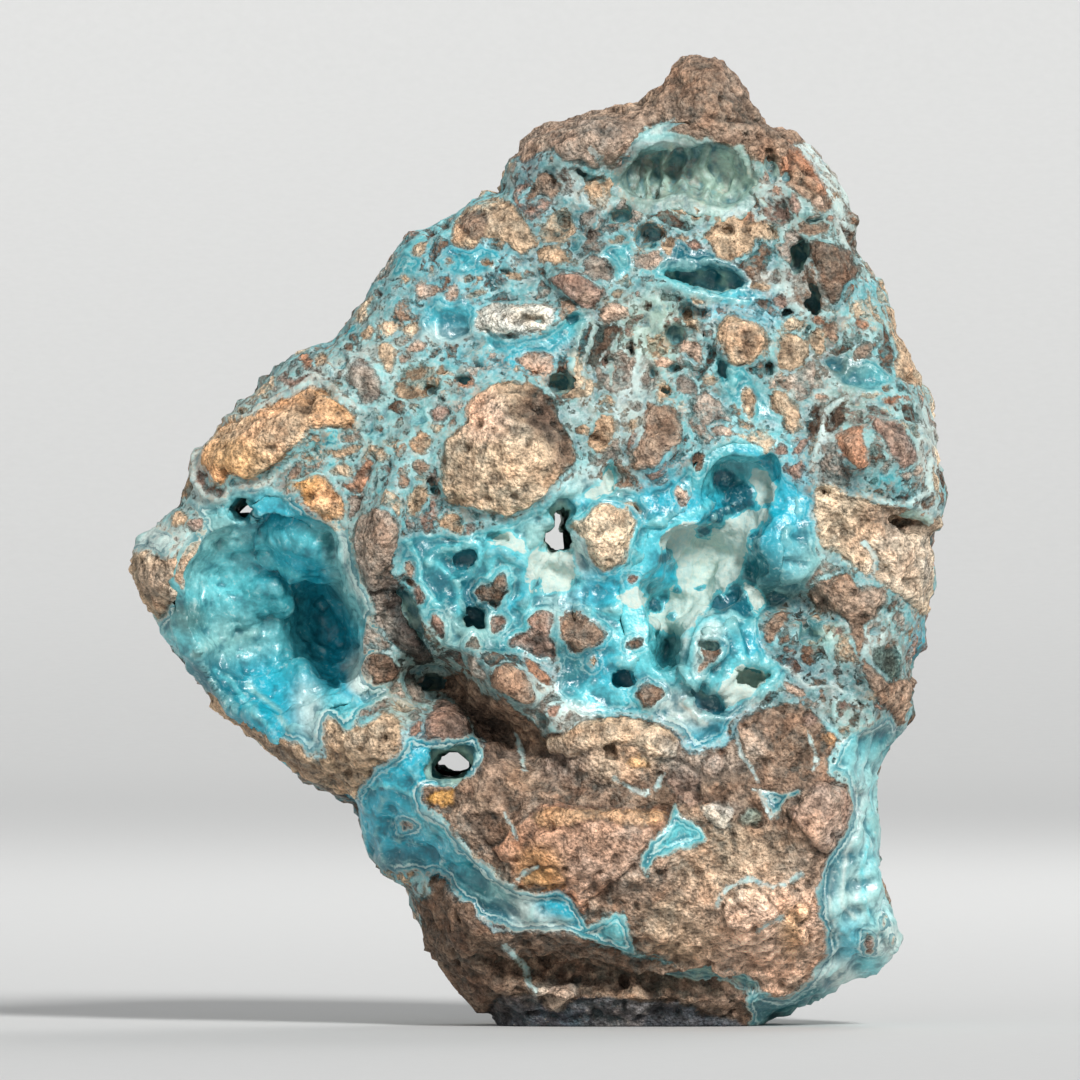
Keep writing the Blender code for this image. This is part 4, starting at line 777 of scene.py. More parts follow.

# %% [markdown]
# ## Patches, stains and painted shade
# The mineral is vivid where it is clean and thick, grey or greenish where clay got
# in, and pale where it is thin. The rock is marked too, by iron and by old damp, and
# a few dark patches and stains are painted shade in fissures, recesses and under
# overhangs. Each patch fades out from its middle, so that no border shows.

# %% Tinted patches of the mineral, stains of the rock, and painted shade in both
# The dusk patch at 18, 109 is painted shadow under the roof of the upper hollow.
# x, z, half width, half height, turn, tint
PATCHES = rows("""
-10 92 14 10 0 turquoise, 24 98 17 12 0 turquoise, 30 102 8 8 0 sage, 2 98 8 6 0 dusk,
12 84 8 10 0 sage, 20 78 9 8 0 turquoise, 38 80 9 9 0 pale, -24 76 9 9 0 turquoise,
-17 78 6 7 0 pale, 38 46 10 6 0 turquoise, 44 47 3 4 0 sage, -36 50 9 7 0 turquoise,
-33 42 5.5 4.5 -40 vivid, -30 36.6 4 2.6 -40 vivid, -25 45 1.4 4 5 vivid, -40 60 4 5 0 pale,
-36 65.6 8 1.6 0 turquoise, -33 64.2 3.4 2.6 0 vivid, -38 48 5 2.2 8 pale,
-27 52.5 3.4 7 -18 vivid, -31 57 4 2.4 0 vivid, -30 60.5 4 2.4 0 turquoise, -38 57 3 2.6 30 bright,
-24 60 2.2 3.2 0 pale, -24 55.5 1.6 3 20 pale, -24 39.4 2.6 1.6 -20 bright, -23 43.6 1.2 2 0 ice,
-28.4 38 1.6 3 10 ice, -45.4 49 2.4 3 0 bright, -44.4 50.4 1.6 1.4 0 moss, -41 43.8 4 2 -35 deep,
-34 53 3 2.4 0 turquoise, -31 49 3 4 0 turquoise, -12 58.5 4 4 0 turquoise,
-12 56.6 3.6 1.4 -40 deep, -9.7 53.4 1.2 3 0 deep, -2.4 56 2 3.6 0 bright, 2 57 3.4 3.4 0 ice,
-9.4 49.6 2.2 1.2 10 pale, -6 58.6 3 2 0 bright, 6 66 4 2.4 20 bright, 7 67.6 3 1.4 20 ice,
9 69 1.4 2 0 moss, 0 60.4 1.6 1 0 pale, 13 52 3 3 0 bright, 8 54.6 5 1.8 0 vivid,
15 58 2.6 3 0 vivid, 12.6 59 2 3 0 bright, 15.6 67 2.2 2.6 0 vivid, 19 64.6 3 1.6 20 vivid,
23 71 4 2.6 0 turquoise, 20 68.6 3.4 2.6 0 turquoise, 27 72.6 2.6 2.2 0 bright,
31 66 2.4 5 0 vivid, 30 58.6 3.4 3.6 0 vivid, 33 58 2.8 3 0 pale, 28 57 2 2.4 0 dusk,
30 53.6 4.4 1.6 -8 moss, 24 50.4 3 2.4 0 turquoise, 20.6 50.4 2.6 1.6 0 ice,
18.4 46.6 1.2 3 20 ice, 22 44.2 4 1.4 20 turquoise, 25.4 47 2 2 0 vivid, 21 40.6 3.4 2.2 -10 deep,
24.6 42 2 1.2 0 ice, 21 36.4 3 1.4 0 vivid, 18 39 3 1.4 -35 ice, 8.6 43.4 4.6 2.6 0 vivid,
7 41.2 5 1.6 0 bright, 13.4 45.4 3 2 0 bright, 4 44.6 2 1.6 0 dusk, 0.4 41.8 1.6 1.2 -20 ice,
4.2 39 1.4 1 0 ice, -14 42.6 3.4 2 0 moss, -17 41 2.4 2.4 0 sage, -8 37 5 3 -35 moss,
-11.5 88 3.4 2.8 0 vivid, -1 84.6 5 1.4 5 vivid, -9 95.5 3.4 1.8 0 vivid,
25.8 79.4 1.8 4 30 turquoise, -18 29 3 3 0 vivid, -17.4 27.4 2 1 -20 vivid, -20 26 4 4 0 vivid,
-14 23.4 5 1.6 -38 vivid, -14 25.4 3.4 1.4 -35 bright, -21 26.6 2 3 0 vivid,
-17.6 23.4 4 1.8 -8 vivid, -12 21.6 4 1.8 -35 vivid, -17.6 21 3.4 1 5 deep,
-8.6 19 4 1.2 -48 turquoise, -5 16.8 2.6 1.8 -40 pale, -5.4 14.4 2.6 1.6 -20 deep,
-2 14.6 1.6 1.6 0 ice, 2.4 14.8 2.4 1.8 0 vivid, 0 13.2 2 0.9 -10 ice, 9 12 3 2 0 bright,
-14.8 33.4 1.4 3 0 vivid, -10 35 3 1 0 deep, -7.4 33.6 1 1.6 0 deep, 17 24 3 2 0 bright,
16.6 26.6 1 1.4 0 turquoise, 30 28.4 3 1.4 0 dusk, 35.7 14 0.8 9 0 deep, 38.6 25.6 0.8 6 -8 deep,
36.4 21 1.4 1.8 -30 deep, 37.4 16 1.4 6 0 foam, 41 27 2 4 0 foam, 41 14 2.2 3 0 foam,
40.6 31.6 3 2.6 0 foam, 40 26 1.4 6 0 ice, 16 45.6 2 2.4 0 dusk, 41.2 21 2 4 0 bright,
39.8 16.6 2.4 3 0 ice, 38.4 10.6 2.4 2.6 0 vivid, 37.6 7 2 1.4 0 ice, 43 9.6 1.6 1.8 0 ice,
41 8 2 1.4 0 bright, 42.4 25 1.4 3.4 0 pale, 40 34 4 3 0 bright, 43 36 2.6 2 0 dusk,
29 2.6 4 1.6 10 dusk, -48.6 60.8 3 1.2 0 ice, -42.6 69.4 1 3.6 0 ice, -34 67.4 6 1.2 0 pale,
-31 79.4 9 0.9 22 ice, -36 77 4 1.4 35 pale, -30 71.4 4 1.2 40 bright, -12 88.6 4 2.4 0 turquoise,
-12 86.4 2.4 0.9 0 ice, -5 84.6 5 1.2 0 turquoise, 3 86 3 2 0 turquoise, -9 95 3 1.2 0 turquoise,
10 95.6 2.6 2.4 0 turquoise, 4 98.6 2.4 1.6 0 dusk, -3 106 1.8 2.6 0 deep, -4 107 0.8 2 0 pale,
-13 99.4 5 1.2 20 bright, -6 103.4 4 0.8 15 bright, 19 95.6 4 1.2 -25 deep, 24 93.6 3 1.2 -30 deep,
20 91.6 6 0.8 -15 bright, 14 86.6 2.4 3 0 mint, 11.6 79 1.6 4 0 ice, 7.4 84.6 1.4 3 0 moss,
26.4 96.4 2.6 1.2 0 turquoise, 24.6 89.8 4 1.4 -10 vivid, 33 91.8 2 1.6 0 ice,
27.2 93.2 1 0.7 0 white, 35.4 73.4 1 3.6 0 ice, 34 74 0.9 4 10 dusk, 37 69.6 1.6 2 40 dusk,
44.6 66.6 3.4 1.4 8 turquoise, 48.4 70 1 4 -5 ice, 37.6 77.4 2 1.2 0 sage, 36 82.4 4 1.2 0 moss,
43 82 3 2 0 turquoise, 40.6 91.4 2 1 10 turquoise, 40.4 95.2 1.4 1.2 0 pale, 36.4 106 1.4 4 35 ice,
38.6 101 0.9 3 10 ice, 18 109 5 1.4 5 dusk, 16.5 106.4 5 3.2 0 sage, 22 105.6 3 3 0 mint,
14.6 105.4 3 2 0 mint, 14.4 110 1.2 1.2 0 pale, 19 110.4 1.6 0.6 10 sage, 14 104 3 1.4 -20 sage,
19 103.2 3.4 1.2 0 sage, 24 107.4 1 1.8 0 mint, 11 107 1.6 2.4 -30 moss, 28.6 103.6 1 3.4 -20 ice,
5 105 2.4 1 -40 ice, 5.4 106.4 3 1 -20 turquoise, 46 50 2 3 0 turquoise, 38 45 4 3.4 0 dusk,
47.2 48.2 1 1.4 0 vivid, 36.4 47.4 2 1.8 0 pale, 36 49 1.6 1 0 mint, 37 44 6 4 0 dusk,
34 50.6 4 0.7 -8 dusk, 31 45.2 4 0.8 -5 deep, 28.6 44.8 1.4 1.6 0 bright, 38.6 42.8 4 1.6 -20 dusk,
38 39.6 3 1.2 -35 sage, 41.6 47.6 1.4 1.2 0 ice""")
# Some stains are painted shade as well as darker rock: the dark and umber ones on the broken
# corner of the large rounded fragment, the umber one on the lower left flank, the blackest pair in
# the fissure beside the ridge, and the dark one below it. The umber one at 45.4, 63.4 is painted
# shadow under the banded block.
# x, z, half width, half height, turn, tint, share
STAINS_AND_SHADE = rows("""
28 12 9 8 0 blush 0.85, 24 20 8 5 0 sand 0.45, 8 22 8 5 0 pink 0.4, -3 70 7 6 0 sand 0.4,
-7 76 3.4 3.4 0 blush 0.6, 0.8 76.2 5.2 2.6 -47 dark 0.6, 4 71.2 1.8 3.4 15 umber 0.7,
-33 73 9 4 0 sand 0.5, -38 71 4 2.4 0 ochre 0.4, -29 67 2 2 0 ochre 0.5, 21 117 6 6 0 umber 0.3,
8 110 12 4 0 grey 0.45, -4 8 7 6 0 umber 0.4, 35 26 4 5 0 pink 0.4, 9 62 3 3 0 sand 0.6,
45 58 6 6 0 putty 0.5, -45 56 5 5 0 grey 0.4, -34 34.6 9 2.2 -38 umber 0.65,
45.4 63.4 5 2.2 -12 umber 0.75, 38 44 4.5 4.5 0 dark 0.5, 31 12 1.6 3 0 ochre 0.6,
20 34 6 3 0 putty 0.5, 10 34 6 3 0 sand 0.4, 0 20 3 3 0 ochre 0.4, 3 33 4 3 0 rose 0.4,
0.8 76.4 3.2 3.2 0 dark 0.8, 2.8 71 1.6 3.4 0 umber 0.7, -20 60 3.4 6 10 brown 0.5,
-16.8 51.2 2.4 6.5 28 soot 0.95, -14.5 45.5 4 3.4 0 soot 0.8, -8 37 6 4 -35 dark 0.7,
27 10 6 5 0 pink 0.5, 18 12 5 4 0 tan 0.5""")
print(len(PATCHES), "tinted patches and", len(STAINS_AND_SHADE), "stains")

# %% [markdown]
# ## Powder, balls and lips
# A dull pale powder of fine crystals was the last thing to grow in the middle
# hollow and round it, and small deep blue balls sit on it. Along many borders the
# mineral stands up as a lip or a rib, which catches the light as a pale line.

# %% Powder, balls and lips
# corners (x, z) of each powdery place
POWDER = shapes("""
14.6 60.5, 15.6 62.4, 19.5 62.9, 21.5 62.6, 23.3 63.1, 26.1 64.1, 28.4 64.3, 28 63.1, 26.1 61.7,
  25.6 58.4, 24.7 55.6, 22.8 54.2, 21 52.4, 19.5 51, 19.5 49.6, 17.7 48.6, 15.3 49.1, 13.5 50.5,
  13.7 51.4, 15.8 53.3, 17.2 55.6, 17.2 57.5, 16 58.9;
26.4 69.8, 28.3 69.2, 29.6 67.2, 29.1 65.2, 27.4 64.8, 26.9 66.6, 25.8 68.2;
9.4 53.4, 12.2 54.4, 13.6 53.6, 12.6 52, 10.6 52.2;
25.4 55.4, 27 54.6, 28.2 53.2, 26.8 51.8, 25.8 53.2;
23 43.2, 24.6 45, 27.8 44.2, 28.2 42.6, 25.6 41.2, 22.8 40.4, 22.2 41.8;
-1.6 57.6, -0.6 59.2, 1.4 60, 3.9 59, 4.4 57, 5.6 54.8, 2.4 54.4, -1.2 54, -1.8 55.8;
5.2 66, 7 67, 9 70, 9.8 67.6, 9.2 66.2, 7 65.6;
-6.4 60.6, -4.4 61.4, -2 60.6, -1 59, -3 59.4, -5 60.2""")
# x, z, radius
BALLS = rows("""
25.2 65.9 2, 22.3 63.5 1.3, 23.4 64.4 1, 20.5 61.7 1.15, 24.4 53.4 1.7, 22.4 52.8 1.4, 25.6 52 1.2,
20 54.7 0.6, 14.3 52.5 1.1, 15.6 58.6 0.8, 26.6 60.4 1, 23 68.2 1.3, 16.6 51 0.7, 17 54.4 0.6,
-0.4 55.2 0.7, 4.6 55.4 0.8""")
# half width, height, tint: points along the lip
LIPS = shapes("""
0.5 0.9 bright: 13 62.5, 15 62.9, 17 62.9, 19.5 63.9, 20.6 65.4;
0.55 1.1 bright: -35.4 61.6, -35 60.2, -34.4 58.5, -33.4 57.4, -32 56.9, -30.5 56.2, -29.4 55.2,
  -28.6 53.8;
0.5 0.7 vivid: -26.4 49, -25.8 46, -25 43.5, -24 41.8, -22.4 40.4;
0.5 0.1 pale: -43 46.6, -41 47.8, -38 48, -35 48.9;
0.35 0.1 pale: -36.6 42.4, -34.4 41, -32.6 39.4, -31.4 37.4;
0.35 0.4 bright: -40.6 44.2, -38.6 42.6, -36.4 39.8, -33.4 37.4;
0.5 0.7 ice: -24.6 62.2, -24.2 59.4, -23.8 57, -23.4 55, -22 53.2, -20.8 51.4;
0.45 0.7 bright: -16.4 60.4, -15.2 57.6, -14.6 55, -13 52.6;
0.5 0.8 bright: -14 58, -12.5 57.5, -11 56.3, -10.2 55, -10.2 53, -10 51.5;
0.6 1 vivid: -5.6 59.4, -3.4 58.6, -1.8 57.4, -1.4 55.4, -2.2 53.4, -4 52.2;
0.6 0.9 bright: 18 44, 18.4 46.4, 18.9 48.7, 20.2 50.6, 21.6 51.2, 23.4 50.2, 24.3 48, 24.5 46,
  23.3 43.6, 20 42.4, 18 44;
0.5 0.8 bright: 11.6 51.2, 13 49.8, 13.4 47.4, 12.8 45.4, 13.8 43.8, 16 43.4, 18 44;
0.5 0.8 bright: 24.5 46, 26.4 45.8, 28.4 44.9, 28.9 43, 27.4 41.3;
0.45 0.8 vivid: 24.8 71.8, 27 71.4, 29.4 69.4, 30.4 67, 30.2 64.8, 29 63.4;
0.4 0.6 bright: 6 51.4, 9 51.6, 11.4 51, 13 49.8;
0.45 0.6 vivid: 3.6 64.8, 6.4 65.4, 9 65.2, 11.4 64.6, 13 62.5;
0.35 0.35 white: -39.5 75.5, -36 76.5, -32 78.8, -27.5 80.8, -25.5 79.2, -23 77.4;
0.35 0.5 white: -43 71, -43.2 68, -41.8 66.3, -40 65.7, -38.6 66.9, -37 67.3, -35.6 66.8,
  -33.6 67.8, -31 69.8;
0.25 0.3 ice: 39.9 30, 39.8 25, 38 21.5, 37.5 18, 38 15, 39 13.5;
0.3 0.3 bright: 41.4 30, 41.4 25, 40 20.6, 40.4 16.6, 41.2 13;
0.25 0.3 ice: 36.2 19.6, 36.2 15, 36.8 10.4, 35.4 6.6;
0.3 0.4 white: 17.5 40.5, 19 38.7, 20.5 37.5;
0.35 0.5 bright: -21 30, -18 30.6, -15.6 29.4;
0.3 0.35 ice: -15 27.4, -12 25.4, -9 22.4, -6 19.2, -3 17.4;
0.3 0.4 deep: -20 24.6, -15 22.6, -11 19.8, -8 16.8, -4 13.8;
0.25 0.3 ice: 30.4 44.8, 33 42.8, 36.4 42.4, 39.4 40.4, 41.2 38.2;
0.25 0.3 deep: 31 43.6, 34 41.4, 37.6 41, 40 38.8;
0.3 0.35 pale: 36.4 40.2, 38 41.4, 40.6 40.6, 41.4 38.6, 39.4 37.2, 37 38, 36.4 40.2;
0.35 0.5 ice: 33.6 69.6, 34.6 73, 35.4 76.6, 38 78.4;
0.3 0.4 ice: 47.6 74.4, 48.6 70.6, 48.6 66.8, 46 65.2, 41.6 65.4, 37.6 66.6;
0.4 0.6 pale: 13.4 92.4, 16 92, 19.4 91.2, 23 90.2, 25.6 89.8;
0.35 0.5 milk: 10.4 108.4, 12.8 109.8, 15.5 110.2, 18 109.6;
0.35 0.5 sage: 24.8 109, 25 106.4, 24 103.8, 21.6 102.2;
0.5 0.9 sage: 17.6 103.4, 18 105, 18.4 107, 18.2 109;
0.4 0.9 mint: 13.4 103.4, 13.2 105.6, 13.6 107.8;
0.5 1.3 mint: 15.6 103.2, 15.9 105.4, 15.5 107.8, 16 109.6;
0.45 1 mint: 20.4 102.8, 20.9 105, 20.5 107.6, 21 109.4;
0.4 0.8 sage: 11.6 104.4, 11.4 106, 11.8 107.8;
0.3 0.5 mint: 26.6 106.4, 27 103.6, 28.4 101.8;
0.3 0.4 sage: 5.2 80, 5.8 83.4, 7.2 86.6, 6.6 88;
0.3 0.4 mint: 3.8 81.4, 4.6 84.4, 5.6 87;
0.3 0.4 sage: 8.6 80, 9 83, 9.6 86""")
print(len(POWDER), "powdery places,", len(BALLS), "balls and", len(LIPS), "lips and lines")

# %% [markdown]
# ## Noise and grains at any point
# The finish needs values at the points of a mesh, not only at the samples of the
# block. Smooth noise is read off a small table of random numbers. Grains are random
# seeds scattered evenly, each owning the space round it: the distance to the border
# between two of them gives broken, many-sided fragments, and the distance to the
# seed itself gives round, grape-like bumps.

# %% Noise and grains
GRAIN_CELLS = 32        # grains repeat after this many cells


def noise_at(points, cell, seed):
    """Smooth noise from -1 to 1 at each point, in cells of one size."""
    values = np.random.default_rng(seed).uniform(-1.0, 1.0, (NOISE_CELLS,) * 3)
    values = values.astype(np.float32)
    place = points / cell
    start = np.floor(place)
    share = place - start
    share = share * share * (3.0 - 2.0 * share)
    start = start.astype(int)
    total = 0.0
    for corner in product((0, 1), repeat=3):
        x, y, z = ((start + corner) % NOISE_CELLS).T
        weight = np.where(corner, share, 1.0 - share).prod(axis=1)
        total = total + weight * values[x, y, z]
    return total


def grains_at(points, cell, seed):
    """Distance to the nearest seed, depth inside its grain, and its random numbers."""
    table = np.random.default_rng(seed).random((GRAIN_CELLS,) * 3 + (6,)).astype(np.float32)
    place = points / cell
    base = np.floor(place).astype(int)
    best = np.full(len(points), 9.0)
    second = np.full(len(points), 9.0)
    draws = np.zeros((len(points), 6), dtype=np.float32)
    for offset in product((-1, 0, 1), repeat=3):
        spot = base + offset
        x, y, z = (spot % GRAIN_CELLS).T
        draw = table[x, y, z]
        gap = place - (spot + 0.1 + 0.8 * draw[:, :3])
        gap = np.sqrt((gap * gap).sum(axis=1)) - 0.3 * draw[:, 3]
        closer = gap < best
        second = np.where(closer, best, np.minimum(second, gap))
        best = np.where(closer, gap, best)
        draws[closer] = draw[closer]
    return best * cell, 0.5 * (second - best) * cell, draws


def step_up(value, low, high):
    """0 below low, 1 above high, and a smooth ramp between."""
    share = np.clip((value - low) / (high - low), 0.0, 1.0)
    return share * share * (3.0 - 2.0 * share)


print("Noise at the origin:", round(float(noise_at(np.zeros((1, 3)), 3.0, 1)[0]), 3))

# %% [markdown]
# ## Points as the tables see them
# The tables give places on the face, seen from the front. Twisting the points with
# noise before they are compared makes every outline ragged. How deep a fragment or a
# patch reaches below the face wanders too, so that nothing ends along a straight
# line when the chunk is seen from the side.

# %% Points, near outlines and lines
class Places:
    """Points with twisted places on the face and their distance below it."""

    def __init__(self, points):
        self.points = points
        self.count = len(points)
        x, y, z = points.T
        self.x = x + 0.45 * noise_at(points, 3.1, 21) + 0.22 * noise_at(points, 1.3, 22)
        self.z = z + 0.45 * noise_at(points, 3.1, 23) + 0.22 * noise_at(points, 1.3, 24)
        self.below = y + face_reach(x, z)
        self.deep = (self.below + 1.8 * noise_at(points, 5.5, 28)
                     + 0.8 * noise_at(points, 2.3, 29))
        twist = [0.5 * noise_at(points, 1.7, seed) for seed in (25, 26, 27)]
        self.twisted = np.stack([self.x, y, self.z], axis=1) + np.stack(twist, axis=1)

    def close_to(self, corners, margin, deepest):
        """Numbers of the points near a line or outline, and not too far below the face."""
        (low_x, low_z), (high_x, high_z) = np.min(corners, axis=0), np.max(corners, axis=0)
        return np.flatnonzero((self.x > low_x - margin) & (self.x < high_x + margin)
                              & (self.z > low_z - margin) & (self.z < high_z + margin)
                              & (self.below < deepest))

    def within(self, near, corners):
        """Depth of some of the points inside an outline."""
        return polygon_depth(self.x[near], self.z[near], corners)

    def deepest_in(self, outlines, margin, deepest, start):
        """Depth of all points inside the outline that each is deepest in."""
        depth = np.full(self.count, start)
        for corners in outlines:
            near = self.close_to(corners, margin, deepest)
            depth[near] = np.maximum(depth[near], self.within(near, corners))
        return depth

    def line_gap(self, near, path):
        """Distance of some of the points from a line of several points."""
        x, z = self.x[near], self.z[near]
        gap = np.full(len(x), 9.0)
        for (ax, az), (bx, bz) in zip(path, path[1:]):
            along = (x - ax) * (bx - ax) + (z - az) * (bz - az)
            along = np.clip(along / ((bx - ax) ** 2 + (bz - az) ** 2), 0.0, 1.0)
            gap = np.minimum(gap, np.hypot(x - ax - along * (bx - ax),
                                           z - az - along * (bz - az)))
        return gap


def toward(colors, others, share):
    """Colours moved towards others by a share for each point."""
    share = share[:, None]
    return colors * (1.0 - share) + others * share


test = Places(np.array([[0.0, -20.0, 60.0]]))
print("A point 20 mm forward lies", round(float(test.below[0]), 1), "mm below the face")

# %% [markdown]
# ## Rock at each point
# For every point this works out how deep it is inside a rock fragment (negative in
# the mineral), the tint of that fragment and how proud it stands. A large fragment
# reaches deeper below the face than a small one.

# %% Fragments of known shape
BASE_REACH = 3.5        # how deep a fragment reaches, with a share of its width
WIDTH_REACH = 1.2
MOST_REACH = 13.0
MINERAL_REACH = 16.0    # how deep the mineral goes
FAR = 6.0               # depth in mineral, or border distance, where nothing is near
POCKET_SPOT = (23.0, 25.0)      # middle of the pockets, and how far round it they cut
POCKET_HALVES = (14.0, 9.0)
POCKET_DEPTH = 8.0
# how far round an outline, and down to what depth, the points near it are looked for
FRAGMENT_SEARCH, MINERAL_SEARCH = (4.0, 16.0), (3.0, 20.0)


def known_fragments(places):
    """Rock depth, border distance, tint and rise from the fragments with outlines."""
    rock = np.full(places.count, -FAR)
    border = np.full(places.count, FAR)
    tint = np.tile(TINT["brown"], (places.count, 1))
    rise = np.zeros(places.count)
    for name, proud, corners in FRAGMENTS:
        near = places.close_to(corners, *FRAGMENT_SEARCH)
        reach = BASE_REACH + WIDTH_REACH * min(np.ptp(np.array(corners), axis=0))
        depth = np.minimum(places.within(near, corners),
                           min(reach, MOST_REACH) - places.deep[near])
        border[near] = np.minimum(border[near], np.abs(depth))
        taken = (depth > 0.0) | (depth > rock[near])
        tint[near[taken]] = TINT[name]
        rise[near[taken]] = proud
        rock[near] = np.maximum(rock[near], depth)
    return {"own": rock.copy(), "rock": rock, "border": border, "tint": tint, "rise": rise}


def mineral_alone(places, made):
    """Depth inside the places of pure mineral, cutting the pockets out of the rock."""
    mineral = places.deepest_in(MINERAL, *MINERAL_SEARCH, -FAR)
    near = np.flatnonzero((np.abs(places.x - POCKET_SPOT[0]) < POCKET_HALVES[0])
                          & (np.abs(places.z - POCKET_SPOT[1]) < POCKET_HALVES[1])
                          & (places.below < POCKET_DEPTH))
    for corners in POCKETS:
        made["rock"][near] = np.minimum(made["rock"][near], -places.within(near, corners))
    return np.minimum(mineral, MINERAL_REACH - places.deep)


print("Fragments reach at most", MOST_REACH, "mm below the face")

# %% [markdown]
# ## Random fragments
# Where no fragment of its own shape reaches, random ones of several sizes fill in,
# each keeping a seam of mineral round it. Round the sides and back there is nothing
# but random ones, larger and more angular, in rich and poor zones. The big masses
# are themselves made of smaller pieces pressed together, and iron has left stains on
# them. Some darker stains are painted shade in fissures, recesses and under overhangs.

# %% Random fragments, pressed pieces, stains and painted shade
PALETTE = np.array([TINT[name] for name in (
    "tan", "putty", "brown", "tan", "grey", "sand", "brown", "putty", "umber", "rose")])
# cell, seed, share left out in front and behind, seam of mineral round each
RANDOM_SIZES = ((10.5, 30, 1.0, 0.45, 0.9), (5.6, 31, 0.25, 0.4, 0.4),
                (3.2, 32, 0.1, 0.4, 0.25), (1.8, 33, 0.2, 0.45, 0.12))
# cell, seed, how much the pieces differ from the mass that they are in
PRESSED_SIZES = ((5.2, 41, 0.55), (2.4, 42, 0.35))
SIDES_BEGIN, SIDES_FULL = 5.0, 12.0     # depth where the rules for the sides take over
STAIN_AND_SHADE_DEPTH = 12.0


def random_tints(draws):
    """A tint of the palette for each random number from 0 to 1."""
    return PALETTE[(draws * 9.99).astype(int)]


def random_fragments(places, made, mineral):
    """Fill what is left of the stone with random fragments of several sizes."""
    behind = step_up(places.below, SIDES_BEGIN, SIDES_FULL)
    filled = np.maximum(made["own"], mineral - 0.2)
    zone = 0.3 * noise_at(places.points, 15.0, 34) * behind
    for cell, seed, leave, leave_behind, seam in RANDOM_SIZES:
        nearest, inside, draws = grains_at(places.twisted, cell, seed)
        limit = cell * (0.34 + 0.28 * draws[:, 4]) * (1.0 + 0.9 * behind)
        depth = np.minimum(inside - seam * (1.0 - 0.5 * behind), limit - nearest)
        leave = leave + (leave_behind - leave + zone) * behind
        depth = np.where(draws[:, 5] < leave, -0.6 * cell, depth)
        depth = np.minimum(depth, -filled - 0.35)
        colors = random_tints(draws[:, 3]) * (0.6 + 0.6 * draws[:, :1])
        taken = (depth > made["rock"]) & (made["own"] < 0.0)
        made["tint"][taken] = colors[taken]
        made["rise"][taken] = (1.4 * draws[:, 4] - 0.7)[taken]
        made["border"] = np.minimum(made["border"], np.abs(depth))
        made["rock"] = np.maximum(made["rock"], depth)
        filled = np.maximum(filled, depth)


def pressed_pieces(places, made):
    """Vary the tint of the big masses, with a border round each piece in them."""
    for cell, seed, strength in PRESSED_SIZES:
        _, inside, draws = grains_at(places.twisted, cell, seed)
        share = strength * draws[:, 5] * step_up(made["own"], 0.3, 1.5)
        colors = np.sqrt(made["tint"] * random_tints(draws[:, 4]))
        made["tint"] = toward(made["tint"], colors, share)
        made["tint"] = made["tint"] * (1.0 + share[:, None] * (1.6 * draws[:, :1] - 0.9))
        within = np.flatnonzero(made["own"] > 0.8)
        made["border"][within] = np.minimum(made["border"][within], inside[within] + 0.3)


def stained_and_shaded(places, tint):
    """The rock's tint with its stains and painted shade, which fade out below the face."""
    for centre_x, centre_z, wide, high, angle, name, strength in STAINS_AND_SHADE:
        along, across = turned(places.x - centre_x, places.z - centre_z, angle)
        share = strength * np.exp(-((along / wide) ** 2 + (across / high) ** 2) ** 2)
        share = share * step_up(STAIN_AND_SHADE_DEPTH - places.below, 0.0, 4.0)
        tint = toward(tint, 1.1 * TINT[name], share)
    return tint


print(len(RANDOM_SIZES), "sizes of random fragments")

# %% [markdown]
# ## Mineral at each point
# The tint of the mineral is an average of the patches round a point, in which a
# small patch outweighs a large one that it lies in. Then come the powder with its
# balls, and the lips, which lift the surface and push the rock back a little.

# %% Tint, powder and lips of the mineral
PATCH_DEPTH = 25.0      # patches have faded out this deep below the face
POWDER_FAR = 3.0        # distance from the powder where none is near
VEIN_SEARCH, LIP_SEARCH = (3.0, 7.0), (3.0, 14.0)


def mineral_tint(places, made, vein_gap):
    """Tint of the mineral from its patches, paler along the veins in the rock."""
    mix = step_up(noise_at(places.points, 7.0, 51), -0.5, 0.5)
    weight = np.full(places.count, 0.12)
    total = toward(TINT["turquoise"], TINT["dusk"], mix) * weight[:, None]
    for centre_x, centre_z, wide, high, angle, name in PATCHES:
        span = 2.6 * max(wide, high)
        near = np.flatnonzero((np.abs(places.x - centre_x) < span)
                              & (np.abs(places.z - centre_z) < span)
                              & (places.below < PATCH_DEPTH + 1.0))
        along, across = turned(places.x[near] - centre_x, places.z[near] - centre_z, angle)
        share = np.exp(-((along / wide) ** 2 + (across / high) ** 2)) * 60.0 / (wide * high)
        share = share * step_up(PATCH_DEPTH - places.deep[near], 0.0, 9.0)
        weight[near] += share
        total[near] += share[:, None] * TINT[name]
    share = 0.8 * step_up(0.5 - vein_gap, 0.0, 0.4) * step_up(made["own"], 0.0, 0.6)
    return toward(total / weight[:, None], TINT["ice"], share)


